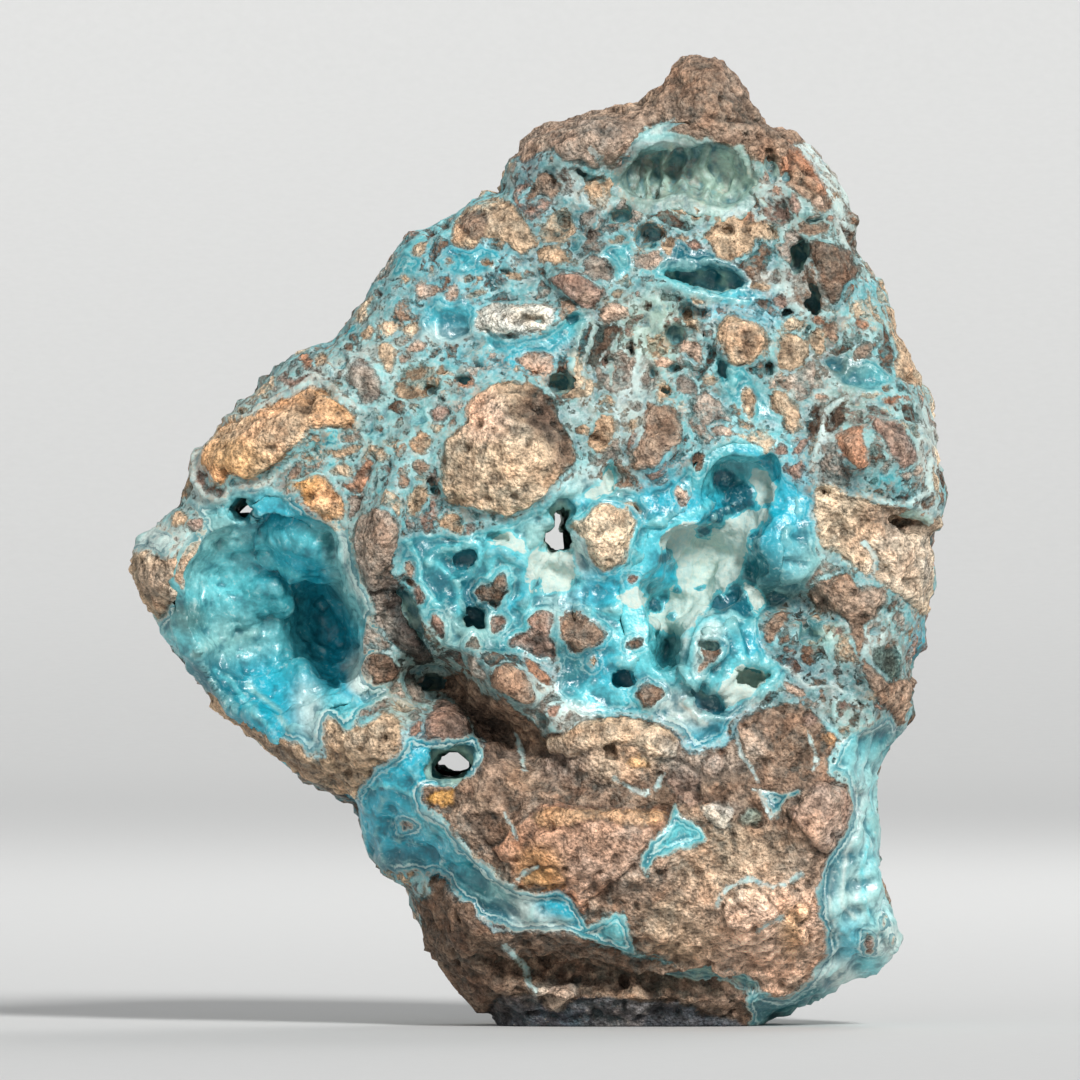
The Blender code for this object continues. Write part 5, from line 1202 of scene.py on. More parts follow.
def make_up(points):
    """Everything that relief and finish need to know about each point."""
    places = Places(points)
    made = known_fragments(places)
    mineral = mineral_alone(places, made)
    random_fragments(places, made, mineral)
    pressed_pieces(places, made)
    made["tint"] = stained_and_shaded(places, made["tint"])

    vein_gap = np.full(places.count, 9.0)
    for half, path in VEINS:
        near = places.close_to(path, *VEIN_SEARCH)
        gap = places.line_gap(near, path) - half
        vein_gap[near] = np.minimum(vein_gap[near], gap)
        made["rock"][near] = np.minimum(made["rock"][near], gap)
    sea = mineral_tint(places, made, vein_gap)

    powder = places.deepest_in(POWDER, *MINERAL_SEARCH, -POWDER_FAR)
    for centre_x, centre_z, radius in BALLS:
        gap = radius - np.hypot(places.x - centre_x, places.z - centre_z)
        powder = np.minimum(powder, np.where(places.below < 20.0, -gap, POWDER_FAR))
        sea = toward(sea, TINT["deep"], step_up(gap, -0.1, 0.2))

    lift = np.zeros(places.count)
    for half, height, name, path in LIPS:
        near = places.close_to(path, *LIP_SEARCH)
        gap = places.line_gap(near, path)
        ridge = np.exp(-(gap / half) ** 2)
        lift[near] = np.maximum(lift[near], height * ridge)
        sea[near] = toward(sea[near], TINT[name], 0.85 * ridge)
        made["rock"][near] = np.minimum(made["rock"][near], gap - 0.8 * half)
    made.update(sea=sea, powder=powder, lift=lift, below=places.below,
                pure=step_up(mineral, -0.8, 0.6))
    return made


print("Make-up rules ready")

# %% [markdown]
# ## Relief
# Rock breaks with a sandy, knobbly surface, and cracks open along the borders
# between fragments. The mineral grew outwards in smooth bumps and stands up in a
# little rim against each fragment. All this is a push along the outward direction
# of each point, so it works on the walls of a hollow as well as on the face.

# %% Outward directions, smoothing and relief
def outward(points, faces):
    """Unit outward direction at each point of a mesh of triangles or quads."""
    if faces.shape[1] == 3:
        faces = faces[:, [0, 1, 2, 2]]
    a, b, c, d = (points[faces[:, corner]] for corner in range(4))
    across = np.cross(c - a, d - b)
    total = np.zeros_like(points)
    for axis in range(3):
        for corner in range(4):
            total[:, axis] += np.bincount(faces[:, corner], across[:, axis], len(points))
    return total / np.maximum(np.linalg.norm(total, axis=1, keepdims=True), 1e-9)


def averaged(values, faces, rounds):
    """Values averaged with those of their neighbours, several times over."""
    sides = faces.shape[1]
    ends = np.concatenate([faces[:, [i, (i + 1) % sides]] for i in range(sides)])
    ends = np.concatenate([ends, ends[:, ::-1]])
    count = np.bincount(ends[:, 0], minlength=len(values)).astype(float)
    for _ in range(rounds):
        mean = np.stack([np.bincount(ends[:, 0], column[ends[:, 1]], len(values))
                         for column in values.T], axis=1) / np.maximum(count, 1.0)[:, None]
        values = values + (mean - values)
    return values


def dome(gap):
    """Height of a round bump of radius 1 at a distance from its middle."""
    return np.sqrt(np.clip(1.0 - gap ** 2, 0.0, 1.0))


def creased(points, cell, seed, middle):
    """Folds with sharp creases between them, from noise."""
    return middle - 2.0 * np.abs(noise_at(points, cell, seed))


def relief(points, made):
    """How far each point of the stone is pushed outwards."""
    rocky = step_up(made["rock"], -0.25, 0.25)
    sandy = (0.34 * noise_at(points, 1.9, 61) + 0.42 * noise_at(points, 0.95, 62)
             + 0.38 * noise_at(points, 3.7, 63))
    pores = -0.7 * step_up(noise_at(points, 1.5, 64), 0.45, 0.8)
    crack = -0.45 * np.exp(-(made["border"] / 0.30) ** 2) * step_up(made["rock"], 0.1, 0.5)
    plateau = made["rise"] * step_up(made["rock"], 0.0, 0.7)
    nearest, _, _ = grains_at(points, 2.7, 65)
    bumps = 0.5 * dome(nearest / 1.5)
    rim = 0.22 * np.exp(-((made["rock"] + 0.35) / 0.3) ** 2)
    folds = 0.9 * creased(points, 3.6, 67, 0.4) + 0.35 * creased(points, 1.8, 68, 0.4)
    waxy = ((0.6 * bumps + folds) * step_up(-made["rock"], 0.2, 1.2) + rim
            + 0.16 * noise_at(points, 2.2, 66) - 0.1)
    return rocky * (sandy + pores + crack + plateau) + (1.0 - rocky) * waxy + made["lift"]


print("Relief rules ready")

# %% [markdown]
# ## From numbers to a mesh
# The mesh is filled in one go from arrays, which is much faster than point by point.
# Crumbs that float free of the stone are dropped. A Decimate modifier first thins the
# back, which has less to show: a point whose weight is 1 in the protected group isn't
# touched, because the group is inverted. Then a second one thins everything a little.

# %% Mesh tools
def one_body(points, faces):
    """Keep the largest connected body."""
    label = np.arange(len(points))
    ends = np.concatenate([faces[:, [0, 1]], faces[:, [1, 2]], faces[:, [2, 3]]])
    while True:
        lowest = np.minimum(label[ends[:, 0]], label[ends[:, 1]])
        new = label.copy()
        np.minimum.at(new, ends[:, 0], lowest)
        np.minimum.at(new, ends[:, 1], lowest)
        new = new[new]
        if (new == label).all():
            break
        label = new
    main = np.bincount(label).argmax()
    keep = label == main
    number = np.cumsum(keep) - 1
    return points[keep], number[faces[keep[faces[:, 0]]]]


def mesh_object(name, points, faces):
    """Object made from points in millimetres, moved to the middle of the model."""
    mesh = bpy.data.meshes.new(name)
    places = (points + (0.0, SHIFT_Y, 0.0)) * MM
    sides = faces.shape[1]
    mesh.vertices.add(len(places))
    mesh.vertices.foreach_set("co", places.astype(np.float32).ravel())
    mesh.loops.add(faces.size)
    mesh.loops.foreach_set("vertex_index", faces.astype(np.int32).ravel())
    mesh.polygons.add(len(faces))
    mesh.polygons.foreach_set("loop_start", np.arange(0, faces.size, sides, dtype=np.int32))
    mesh.update(calc_edges=True)
    mesh.shade_smooth()
    piece = bpy.data.objects.new(name, mesh)
    bpy.context.scene.collection.objects.link(piece)
    return piece


def points_and_faces(piece):
    """A thinned mesh's points in the carving block, and the corners of its triangles."""
    places = np.zeros(3 * len(piece.data.vertices), dtype=np.float32)
    piece.data.vertices.foreach_get("co", places)
    faces = np.zeros(3 * len(piece.data.polygons), dtype=np.int32)
    piece.data.polygons.foreach_get("vertices", faces)
    points = places.reshape(-1, 3).astype(float) / MM - (0.0, SHIFT_Y, 0.0)
    return points, faces.reshape(-1, 3)


def apply_modifiers(piece):
    """Replace a piece's mesh by the result of its modifiers."""
    bpy.context.view_layer.update()
    graph = bpy.context.evaluated_depsgraph_get()
    result = bpy.data.meshes.new_from_object(piece.evaluated_get(graph))
    old = piece.data
    piece.modifiers.clear()
    piece.data = result
    bpy.data.meshes.remove(old)
    result.name = piece.name


def thin_out(piece, protected, back, most):
    """Thin the back to a number of triangles, then everything to the most allowed."""
    corner = piece.modifiers.new("corners", "TRIANGULATE")
    corner.quad_method = "SHORTEST_DIAGONAL"
    apply_modifiers(piece)
    group = piece.vertex_groups.new(name="protected")
    group.add(np.flatnonzero(protected).tolist(), 1.0, "REPLACE")
    first = now = len(piece.data.polygons)
    front = round(now * protected.mean())
    for goal, name in ((front + back, group.name), (most, "")):
        if now > goal:
            thin = piece.modifiers.new("thin", "DECIMATE")
            thin.ratio = goal / now
            thin.vertex_group = name
            thin.invert_vertex_group = True
            apply_modifiers(piece)
            now = len(piece.data.polygons)
    piece.vertex_groups.clear()
    print(piece.name, "went from", first, "to", now, "triangles")


print("Mesh tools ready after", round(time.time() - started, 1), "s")

# %% [markdown]
# ## Values that the finish reads
# Each point of a mesh carries its make-up: depth in rock, border distance, two
# tints, how powdery it is, and how far it stands out from the average of its
# surroundings. The finish uses that last one to paint shade into the hollows and a
# painted highlight onto the ridges. The coats of the mineral show best low down and
# round the left hollow.

# %% Store the make-up on a mesh
def store(piece, made, faces, points):
    """Write the values of the make-up to a mesh as attributes."""
    mesh = piece.data
    near = averaged(points, faces, 4)
    far = averaged(near, faces, 14)
    normal = outward(points, faces)
    low = 1.0 - step_up(points[:, 2], 36.0, 41.0)
    coated = 0.3 + 0.7 * np.maximum(low, step_up(-points[:, 0], 17.0, 21.0))
    columns = {
        "rock_depth": made["rock"], "border": made["border"], "powder": made["powder"],
        "pure": made["pure"],
        "fine_swell": ((points - near) * normal).sum(axis=1),
        "broad_swell": ((near - far) * normal).sum(axis=1),
        "rimmed": step_up(made["own"], -1.9, -1.1) * coated,
        "filmed": 0.12 + 0.6 * step_up(0.8 - made["own"], 0.0, 1.2),
        "dirty": 0.4 + 0.6 * step_up(noise_at(points, 9.0, 81), -0.2, 0.4)}
    for name, values in columns.items():
        layer = mesh.attributes.new(name, "FLOAT", "POINT")
        layer.data.foreach_set("value", values.astype(np.float32))
    for name, values in (("rock_tint", made["tint"]), ("sea_tint", made["sea"])):
        layer = mesh.attributes.new(name, "FLOAT_COLOR", "POINT")
        color = np.concatenate([np.clip(values, 0.0, 1.0), np.ones((len(values), 1))], axis=1)
        layer.data.foreach_set("color", color.astype(np.float32).ravel())


print("Ready to store values")

# %% [markdown]
# ## Carve the stone
# The whole chunk, less its openings and the room for the linings, is cut level at
# the floor and turned into a mesh. Then the relief is pushed out and the back is
# thinned. The rim of each opening swells a little where mineral grew round it. The
# walls of the openings are mineral too, tinted a pale mint as painted light that
# lifts the shade inside them.

# %% Stone
STONE_BLOCK = ((-54.0, -31.0, -2.0), (54.0, 29.0, 125.0))
OPENING_BLEND = 0.8     # rounding where an opening meets the surface
MOST_TRIANGLES = 197000
BACK_TRIANGLES = 60000
FACE_DEPTH, WALL_DEPTH = 7.0, 16.0      # how deep the face counts as front, and walls

block = Carving(*STONE_BLOCK, STONE_STEP)
chunk = block.chunk()
openings = block.openings()
depth = smooth_low(chunk, -openings, OPENING_BLEND)
for scoops, lumps in ((LEFT_POCKET, LEFT_LUMPS), (CENTRE_VUG, CENTRE_LUMPS),
                      (TOP_VUG, TOP_LUMPS)):
    depth = np.minimum(depth, OVERLAP - CRUST - block.hollow(scoops, lumps))
depth = np.minimum(depth, block.z)
points, faces = one_body(*surface(block, depth))
print("Stone drawn with", len(points), "points after", round(time.time() - started, 1), "s")

made = make_up(points)
normal = outward(averaged(points, faces, 3), faces)
lip = 0.55 * np.exp(-((block.sample(openings, points) + 0.7) / 0.55) ** 2)
lip = lip * step_up(2.0 - made["below"], 0.0, 1.5) * step_up(0.6 - made["rock"], 0.0, 0.6)
push = (relief(points, made) + lip) * step_up(points[:, 2], 0.1, 1.2)
points = points + normal * push[:, None]
points[:, 2] = np.maximum(points[:, 2], 0.0)
stone = mesh_object("breccia_body", points, faces)
front = ((made["below"] < FACE_DEPTH)
         | (normal[:, 1] < -0.3) & (made["below"] < WALL_DEPTH))
thin_out(stone, front, BACK_TRIANGLES, MOST_TRIANGLES)

points, faces = points_and_faces(stone)
made = make_up(points)
wall = step_up(block.sample(openings, points), -0.5, -0.15) * step_up(made["below"], 0.8, 1.8)
made["rock"] = made["rock"] - 1.6 * wall * step_up(2.5 - made["own"], 0.0, 1.5)
# painted light: pale mint on the walls of the openings lifts the shade inside them
made["sea"] = toward(made["sea"], TINT["mint"], 0.8 * wall)
store(stone, made, faces, points)
stone.data.shade_smooth()
print("Stone finished after", round(time.time() - started, 1), "s")

# %% [markdown]
# ## The linings
# The crust in each hollow is a shell two millimetres thick between the open space
# and the rock. It grew as smooth bumps, so it is drawn on a finer block and pushed
# out in grape-like swellings. In the middle hollow a pale powdery layer covers most
# of it, and blue balls sit on that. The lining under the peak is thin and lets some
# rock show, and the other two are mineral all over.

# %% Linings
LINING_TRIANGLES = 110000
PEAK_HEIGHT = 98.0      # linings above this height let rock show
SMALL_BULBS = 0.45      # size of the small bumps beside that of the large ones


def lining_bumps(points, made, normal, bulge, bulb):
    """Grape-like swellings of two sizes, folds, balls and lips of a lining."""
    large, _, _ = grains_at(points, bulb, 71)
    small, _, _ = grains_at(points, SMALL_BULBS * bulb, 72)
    bumps = bulge * dome(large / (0.6 * bulb))
    bumps = bumps + 0.5 * bulge * dome(small / (0.27 * bulb))
    bumps = bumps + 0.5 * creased(points, 4.1, 73, 0.5)
    bumps = bumps + 0.25 * creased(points, 1.9, 74, 0.5)
    for centre_x, centre_z, radius in BALLS:
        gap = np.hypot(points[:, 0] - centre_x, points[:, 2] - centre_z) / radius
        bumps = bumps + 0.6 * (radius * dome(gap)) * step_up(-normal[:, 1], 0.2, 0.6)
    return (bumps + made["lift"]) * step_up(made["below"], 0.3, 2.0)


def lining(name, scoops, lumps, low, high, bulge, bulb):
    """Draw one lining on its own fine block and push its bumps out."""
    block = Carving(low, high, LINING_STEP)
    space = block.hollow(scoops, lumps)
    shell = np.minimum(block.chunk() - 0.1, np.minimum(space + CRUST, -space))
    shell = np.minimum(shell, -block.openings() - 0.2)
    points, faces = one_body(*surface(block, shell))
    made = make_up(points)
    normal = outward(averaged(points, faces, 3), faces)
    points = points + normal * lining_bumps(points, made, normal, bulge, bulb)[:, None]
    piece = mesh_object(name, points, faces)
    thin_out(piece, np.ones(len(points), dtype=bool), 0, LINING_TRIANGLES)

    points, faces = points_and_faces(piece)
    made = make_up(points)
    high_up = points[:, 2] > PEAK_HEIGHT
    inner = step_up(made["below"], 0.2, 1.4) * ~high_up
    made["rock"] = (made["rock"] - 0.7 * high_up) * (1.0 - inner) - 2.4 * inner
    made["own"] = made["own"] * (1.0 - inner) - 9.0 * inner
    made["pure"] = np.where(high_up, 0.2, 1.0)
    store(piece, made, faces, points)
    piece.data.shade_smooth()
    print(name, "finished after", round(time.time() - started, 1), "s")
    return piece


pocket_lining = lining("left_pocket_lining", LEFT_POCKET, LEFT_LUMPS,
                       (-51.0, -26.0, 31.0), (-17.0, 9.0, 70.0), 0.45, 3.4)
centre_lining = lining("centre_vug_lining", CENTRE_VUG, CENTRE_LUMPS,
                       (8.0, -26.0, 38.0), (35.0, -2.0, 77.0), 0.25, 2.2)
top_lining = lining("top_vug_lining", TOP_VUG, TOP_LUMPS,
                    (6.0, -14.0, 98.0), (30.0, 3.0, 114.0), 0.2, 2.2)

# %% [markdown]
# ## Shader sums written as plain expressions
# A finish is mostly arithmetic on masks. Wrapping a node's output in a small class
# lets that arithmetic be written as `a * b + 0.2`, each operation adding the node
# that does it. Colours go through vector nodes, because a Math node turns them grey.

# %% A socket that can be added and multiplied
class Link:
    """One output of a shader node, to be used in sums."""

    def __init__(self, tree, socket=None):
        self.tree = tree
        self.socket = socket

    def node(self, kind, settings=None, sockets=None, out=0):
        """Add a node, set it up, feed its inputs, and return an output, if it has any."""
        node = self.tree.nodes.new(kind)
        for name, value in (settings or {}).items():
            setattr(node, name, value)
        for name, value in (sockets or {}).items():
            if isinstance(value, Link):
                self.tree.links.new(value.socket, node.inputs[name])
            else:
                node.inputs[name].default_value = value
        return Link(self.tree, node.outputs[out] if node.outputs else None)

    def math(self, operation, *values):
        return self.node("ShaderNodeMath", {"operation": operation}, dict(enumerate(values)))

    def sine(self):
        return self.math("SINE", self)

    def highest(self, other):
        return self.math("MAXIMUM", self, other)

    def __add__(self, other):
        return self.math("ADD", self, other)

    def __radd__(self, other):
        return self.math("ADD", other, self)

    def __sub__(self, other):
        return self.math("SUBTRACT", self, other)

    def __rsub__(self, other):
        return self.math("SUBTRACT", other, self)

    def __mul__(self, other):
        return self.math("MULTIPLY", self, other)

    def __rmul__(self, other):
        return self.math("MULTIPLY", other, self)

    def ramp(self, low, high):
        """0 below low and 1 above high, smooth between; high may be the lower one."""
        first, last = (0.0, 1.0) if low < high else (1.0, 0.0)
        return self.node("ShaderNodeMapRange", {"interpolation_type": "SMOOTHSTEP"}, {
            "Value": self, "From Min": min(low, high), "From Max": max(low, high),
            "To Min": first, "To Max": last})

    def noise(self, size, detail=3.0, rough=0.55):
        """Cloudy noise, 0 to 1, with patches about as large as size in millimetres."""
        return self.node("ShaderNodeTexNoise", None, {
            "Vector": self, "Scale": 1.0 / (size * MM), "Detail": detail, "Roughness": rough})

    def cells(self, size, out="Distance"):
        """Round cells about as large as size in millimetres."""
        return self.node("ShaderNodeTexVoronoi", None, {
            "Vector": self, "Scale": 1.0 / (size * MM)}, out)

    def crumbs(self, size):
        """Small pieces, each with a random value from 0 to 1."""
        return self.node("ShaderNodeSeparateColor", None, {0: self.cells(size, "Color")})

    def scaled(self, amount):
        """A colour made lighter or darker."""
        return self.node("ShaderNodeVectorMath", {"operation": "SCALE"},
                         {0: self, "Scale": amount})

    def tinted(self, other):
        """A colour multiplied by another colour."""
        return self.node("ShaderNodeVectorMath", {"operation": "MULTIPLY"},
                         {0: self, 1: other})

    def mixed(self, other, share):
        """This colour where the share is 0 and the other where it is 1."""
        return self.node("ShaderNodeMix", {"data_type": "RGBA"},
                         {0: share, 6: self, 7: other}, 2)

    def bumped(self, strength, distance):
        """A direction tilted by this height, up to a distance in millimetres."""
        return self.node("ShaderNodeBump", None, {
            "Strength": strength, "Distance": distance * MM, "Height": self}, "Normal")


def shade(name):
    """A named tint as a colour that a node takes."""
    return (*[float(part) for part in TINT[name]], 1.0)


print("Shader sums ready")

# %% [markdown]
# ## What the finish reads
# The stone and its linings share one finish, which reads the values stored on the
# mesh and a few noises. The stored depth in rock is disturbed by noise before rock
# and mineral are told apart by it, so their border is as ragged as the finish is
# fine, and not as coarse as the mesh. Powder is disturbed in the same way.

# %% Stored values and shared noises
class Reading:
    """What the finish reads at each place, each of it only once."""

    def __init__(self, tree):
        self.place = Link(tree).node("ShaderNodeTexCoord", None, None, "Object")
        for name in ("rock_depth", "border", "powder", "fine_swell", "broad_swell",
                     "pure", "rimmed", "filmed", "dirty"):
            setattr(self, name, self.stored(name, "Fac"))
        self.rock_tint = self.stored("rock_tint", "Color")
        self.sea_tint = self.stored("sea_tint", "Color")
        noise = self.place.noise
        self.ragged = (self.rock_depth + 0.95 * (noise(1.3, 2.0) - 0.5)
                       + 0.4 * (noise(0.4, 1.0) - 0.5))
        self.inner = 0.0 - self.ragged
        self.grain = noise(0.45, 3.0, 0.75)
        self.grit = self.grain.ramp(0.36, 0.64) * 0.55 + self.place.crumbs(0.36) * 0.45
        self.mottle = noise(1.4, 4.0, 0.65)
        self.cloud = noise(2.1, 3.0, 0.55)
        self.wisp = noise(0.6, 2.0, 0.6)
        self.dusty = self.powder + 1.5 * (noise(1.5, 3.0, 0.6) - 0.5)
        self.dust = self.dusty.ramp(-0.08, 0.08)

    def stored(self, name, out):
        """A value stored on the mesh."""
        return self.place.node("ShaderNodeAttribute", {"attribute_name": name}, None, out)


print("The finish reads 11 stored values")

# %% [markdown]
# ## Rock
# The rock is dry and sandy: grit of three sizes, rusty and bluish blotches, pale
# grains, dark pits and dark cracks along the borders. Ridges get a painted highlight
# and hollows painted shade. A thin film of mineral lies over much of the smaller
# fragments and over the edge of every one.

# %% Colour of the rock
RUSTY = (1.16, 0.93, 0.80)
BLUISH = (0.86, 0.98, 1.08)


def rock_color(at):
    """Rock from its stored tint, with grit, blotches, pits, cracks and a film."""
    lumps = at.mottle.ramp(0.36, 0.66)
    blotch = at.place.noise(4.5, 3.0)
    rock = at.rock_tint.scaled(0.22 + at.grit + 0.68 * lumps)
    rock = rock.mixed(rock.tinted(RUSTY), blotch.ramp(0.5, 0.66) * 0.5)
    rock = rock.mixed(rock.tinted(BLUISH), blotch.ramp(0.46, 0.34) * 0.6)
    rock = rock.mixed(shade("sand"), at.grain.ramp(0.60, 0.70) * lumps * 0.45)
    pit = at.place.noise(0.7, 2.0).ramp(0.38, 0.28)
    rock = rock.scaled(1.0 - 0.4 * pit)
    crack = at.border.ramp(0.42, 0.08) * at.mottle.ramp(0.45, 0.6)
    rock = rock.scaled(1.0 - 0.5 * crack)
    # painted shade in the hollows and a painted highlight on the ridges, from how far each point
    # stands out
    rock = rock.scaled(0.42 + 0.95 * at.fine_swell.ramp(-0.28, 0.28)
                       + 0.25 * at.broad_swell.ramp(-0.8, 0.4))
    film = at.place.noise(1.5, 4.0, 0.62).ramp(0.44, 0.62) * at.filmed
    veil = at.ragged.ramp(0.28, 0.0) * (0.5 - 0.2 * at.pure)
    return rock.mixed(at.sea_tint.scaled(0.6 + 0.7 * at.grit), (film * 0.65).highest(veil))


print("Colour rules of the rock ready")

# %% [markdown]
# ## Mineral
# Smithsonite is waxy and cloudy, with fine white flecks. Its hollows get painted
# shade and its ridges a painted highlight. It grew in coats round every fragment,
# which show as thin pale and dark lines that follow the border. Over it lie pale
# powder and a little earth.

# %% Colour of the mineral
CHALK = (0.62, 0.70, 0.62, 1.0)


def clouded(at, streak):
    """Mineral from its stored tint, with painted shade in its hollows and a painted highlight on
    its ridges.
    """
    sea = at.sea_tint.scaled(0.34 + 0.95 * at.cloud + 0.2 * streak)
    sea = sea.mixed(shade("deep"), at.cloud.ramp(0.46, 0.30) * 0.6)
    # painted highlight: pale on the ridges
    ridge = at.fine_swell.ramp(0.06, 0.32) * (0.3 + 0.3 * streak)
    sea = sea.mixed(shade("pale"), ridge * (0.35 + 0.65 * at.pure))
    # painted shade: deep in the small hollows
    sea = sea.mixed(shade("deep"), at.fine_swell.ramp(-0.02, -0.26) * 0.7)
    sea = sea.mixed(shade("ice"), at.cloud.ramp(0.62, 0.78) * 0.4)
    # painted shade: deep in the broad hollows
    return sea.mixed(shade("deep"), at.broad_swell.ramp(-0.1, -1.0) * 0.5)


def coated(at, sea, streak):
    """The same with the coats, rims and flecks that follow each fragment."""
    coats = (at.inner * 11.0 + 4.0 * at.cloud).sine() * 0.5 + 0.5
    fade = at.inner.ramp(2.4, 0.6) * (0.12 + 0.4 * at.rimmed)
    sea = sea.mixed(shade("deep"), coats.ramp(0.55, 1.0) * fade)
    sea = sea.mixed(shade("pale"), coats.ramp(0.45, 0.0) * fade)
    milky = at.inner.ramp(0.5, 0.0) * (0.1 + 0.4 * streak)
    sea = sea.mixed(shade("milk"), milky * (1.0 - 0.6 * at.pure))
    flecks = at.wisp.ramp(0.54, 0.70) * at.cloud.ramp(0.44, 0.60)
    sea = sea.mixed(shade("ice"), flecks * (0.25 + 0.2 * at.pure))
    patchy = at.place.noise(3.1, 1.0).ramp(0.34, 0.56)
    banded = at.rimmed * at.pure * (0.25 + 0.75 * patchy)
    dark_line = at.inner.ramp(0.12, 0.24) * at.inner.ramp(0.66, 0.5)
    sea = sea.mixed(shade("deep"), dark_line * banded * 0.6)
    pale_line = at.inner.ramp(0.56, 0.66) * at.inner.ramp(0.92, 0.76)
    sea = sea.mixed(shade("ice"), pale_line * banded * 0.7)
    rim = at.inner.ramp(0.2, 0.08) * (0.1 + 0.6 * at.rimmed)
    return sea.mixed(shade("sand"), rim * (0.2 + 0.6 * at.pure))


def mineral_color(at):
    """Mineral with its coats, and the powder and earth that lie on it."""
    streak = at.wisp.ramp(0.36, 0.64)
    sea = coated(at, clouded(at, streak), streak)
    sea = sea.mixed(shade("bright"), at.dusty.ramp(-0.55, -0.2) * 0.5)
    sea = sea.mixed(CHALK, at.dust * (0.74 + 0.26 * streak))
    dirt = at.place.noise(1.9, 4.0, 0.7).ramp(0.48, 0.62) * at.dirty
    earth = at.rock_tint.scaled(0.55 + 0.8 * at.cloud)
    return sea.mixed(earth, dirt * 0.7 * (1.0 - at.pure))


print("Colour rules of the mineral ready")

# %% [markdown]
# ## Rock and mineral in one finish
# Rock and mineral are two Principled shaders, and the ragged depth chooses between
# them. Rock is rough, with a sandy skin. The mineral's skin is smoother and has a
# dull waxy shine, wetter where it is pure and gone where powder lies on it. Making
# both out of one shader would leave a grey, half shiny line along every border.

# %% The finish of the stone and its linings
def breccia(name):
    """Material that reads the stored make-up of a mesh."""
    material = bpy.data.materials.new(name)
    material.use_nodes = True
    tree = material.node_tree
    tree.nodes.clear()
    at = Reading(tree)
    sandy = 0.7 * at.grain + at.mottle - 0.8 * at.place.cells(0.5)
    dry = at.place.node("ShaderNodeBsdfPrincipled", None, {
        "Base Color": rock_color(at), "Roughness": 0.82 + 0.12 * at.grain,
        "Normal": sandy.bumped(1.0, 0.6), "IOR": 1.45, "Specular IOR Level": 0.35})
    skin = at.place.noise(1.1, 2.0) + 0.4 * at.wisp * at.powder.ramp(-0.2, 0.2)
    waxy = at.place.node("ShaderNodeBsdfPrincipled", None, {
        "Base Color": mineral_color(at),
        "Roughness": 0.46 - 0.16 * at.pure + 0.16 * at.cloud + 0.4 * at.dust,
        "Normal": skin.bumped(0.8, 0.3), "IOR": 1.6,
        "Coat Weight": (0.04 + 0.14 * at.pure) * (1.0 - at.dust), "Coat Roughness": 0.12})
    both = at.place.node("ShaderNodeMixShader", None, {
        0: at.ragged.ramp(-0.04, 0.04), 1: waxy, 2: dry})
    at.place.node("ShaderNodeOutputMaterial", None, {"Surface": both})
    return material


pieces = {
    "breccia_body": (stone, "breccia_stone", "breccia"),
    "left_pocket_lining": (pocket_lining, "left_pocket_crust", "pocket_crust"),
    "centre_vug_lining": (centre_lining, "centre_vug_crust", "vug_crust"),
    "top_vug_lining": (top_lining, "top_vug_crust", "top_crust"),
}
for name, (piece, node, slot) in pieces.items():
    piece.data.materials.clear()
    piece.data.materials.append(breccia(name + "_finish"))
    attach(piece, "root")
    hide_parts(node)
    print(name, "has", len(piece.data.polygons), "triangles")

# %% [markdown]
# ## Floor
# The floor is a wide pale dish whose rim curves up, so there is no horizon from any
# side. It is turned from a few rings, each a radius and a height in metres.

# %% Floor
RINGS = rows("0.3 0, 1.2 0, 2.8 0, 3.2 0.05, 3.6 0.2, 3.9 0.45, 4.1 0.8, 4.2 1.3")
AROUND = 96             # corners in each ring
FLOOR_TONE = (0.62, 0.62, 0.61)

corners = [(0.0, 0.0, 0.0)]
for radius, height in RINGS:
    for turn in range(AROUND):
        angle = 2.0 * math.pi * turn / AROUND
        corners.append((radius * math.cos(angle), radius * math.sin(angle), height))
sides = [(0, 1 + turn, 1 + (turn + 1) % AROUND) for turn in range(AROUND)]
for ring in range(len(RINGS) - 1):
    first = 1 + ring * AROUND
    for turn in range(AROUND):
        after = (turn + 1) % AROUND
        sides.append((first + turn, first + AROUND + turn,
                      first + AROUND + after, first + after))
floor_mesh = bpy.data.meshes.new("floor")
floor_mesh.from_pydata(corners, [], sides)
floor_mesh.shade_smooth()
floor = bpy.data.objects.new("floor", floor_mesh)
bpy.context.scene.collection.objects.link(floor)

card = bpy.data.materials.new("floor_card")
card.use_nodes = True
paint = card.node_tree.nodes["Principled BSDF"]
fibre = Link(card.node_tree).node("ShaderNodeTexCoord", None, None, "Object").noise(3.0)
tone = fibre.node("ShaderNodeVectorMath", {"operation": "SCALE"},
                  {0: FLOOR_TONE, "Scale": 0.97 + 0.06 * fibre})
card.node_tree.links.new(tone.socket, paint.inputs["Base Color"])
paint.inputs["Roughness"].default_value = 0.9
floor_mesh.materials.append(card)
print("The floor has", len(sides), "faces")

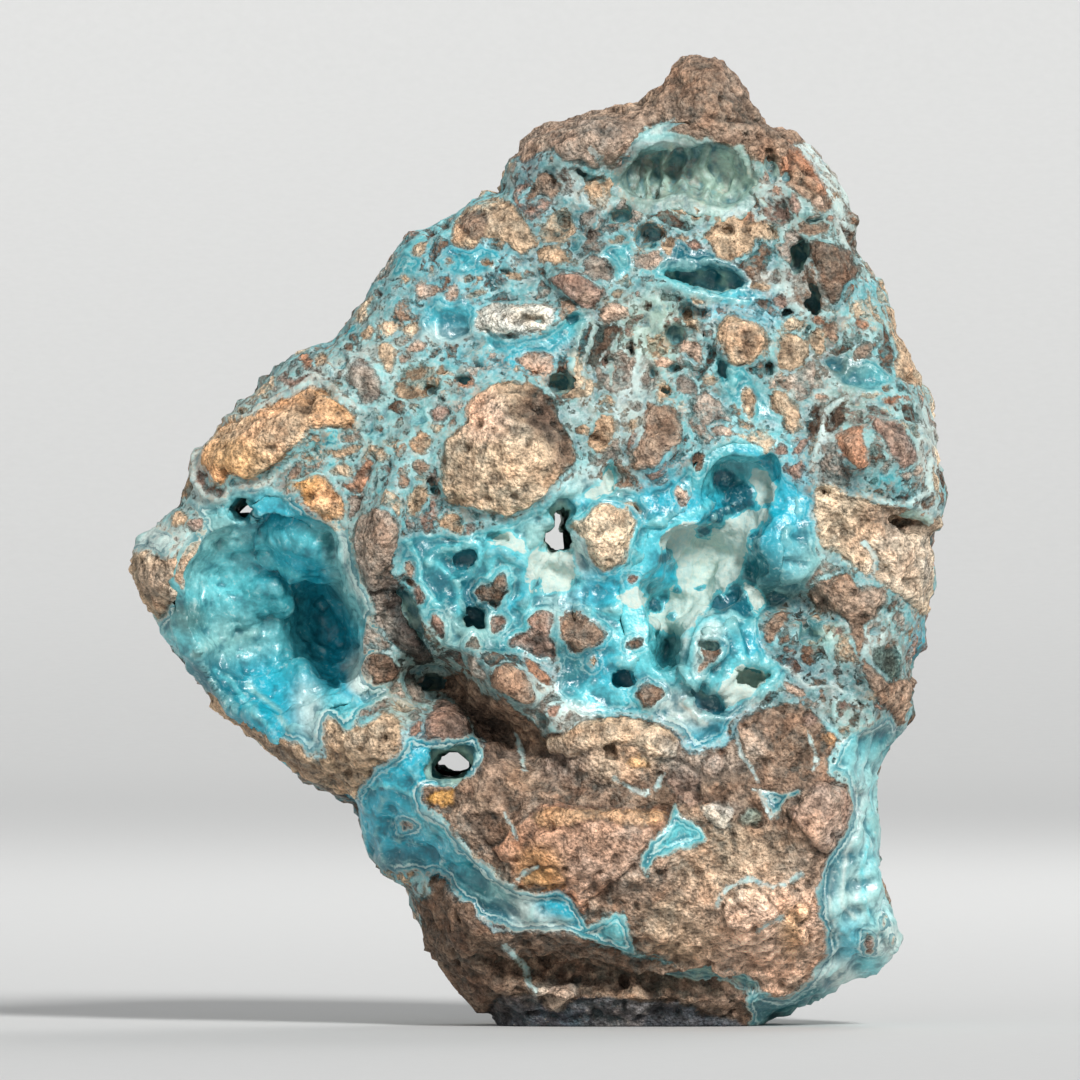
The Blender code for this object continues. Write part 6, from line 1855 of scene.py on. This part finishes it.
# %% [markdown]
# ## Light
# The key is a soft sun high on the right, which rakes over the relief. A weak square
# light in front on the left opens the shadows, one behind picks out the edge, and
# the rest is a faint even glow, so that the hollows stay dark but can be seen into.

# %% Lights
def linked(name, data):
    """An object for some data, in the scene."""
    thing = bpy.data.objects.new(name, data)
    bpy.context.scene.collection.objects.link(thing)
    return thing


def soft_light(name, place, size, power):
    """A square light at a place, turned towards the stone."""
    lamp = bpy.data.lights.new(name, "AREA")
    lamp.shape = "SQUARE"
    lamp.size = size
    lamp.energy = power
    light = linked(name, lamp)
    light.location = place
    aim = Vector((0.0, 0.0, 0.06)) - Vector(place)
    light.rotation_euler = aim.to_track_quat("-Z", "Y").to_euler()


sun = bpy.data.lights.new("key", "SUN")
sun.energy = 3.1
sun.angle = math.radians(14.0)
linked("key", sun).rotation_euler = (math.radians(54.0), 0.0, math.radians(24.0))
soft_light("fill", (-0.7, -1.0, 0.5), 0.7, 1.5)
soft_light("back", (0.5, 1.0, 0.9), 0.8, 6.0)

world = bpy.data.worlds.new("studio")
world.use_nodes = True
glow = world.node_tree.nodes["Background"]
glow.inputs["Color"].default_value = (0.95, 0.97, 1.0, 1.0)
glow.inputs["Strength"].default_value = 0.28
bpy.context.scene.world = world
bpy.context.scene.view_settings.view_transform = "Standard"
print("Three lights and a faint glow")

# %% [markdown]
# ## Camera
# The eye is far away and has a long lens, so the stone is seen almost without
# perspective. Its hollows and its outline then show as they are, from one side.

# %% Camera
EYE = (0.0, -2400.0, 60.6)      # where the stone is looked at from, in millimetres
lens = bpy.data.cameras.new("eye")
lens.sensor_width = 36.0
lens.lens = 640.0
lens.clip_end = 20.0
camera = linked("eye", lens)
camera.location = [part * MM for part in EYE]
camera.rotation_euler = (math.radians(90.0), 0.0, 0.0)
bpy.context.scene.camera = camera
print("The eye is", -EYE[1] * MM, "m away")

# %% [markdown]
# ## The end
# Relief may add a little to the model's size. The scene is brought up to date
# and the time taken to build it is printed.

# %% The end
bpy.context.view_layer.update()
print("Built in", round(time.time() - started, 1), "s")
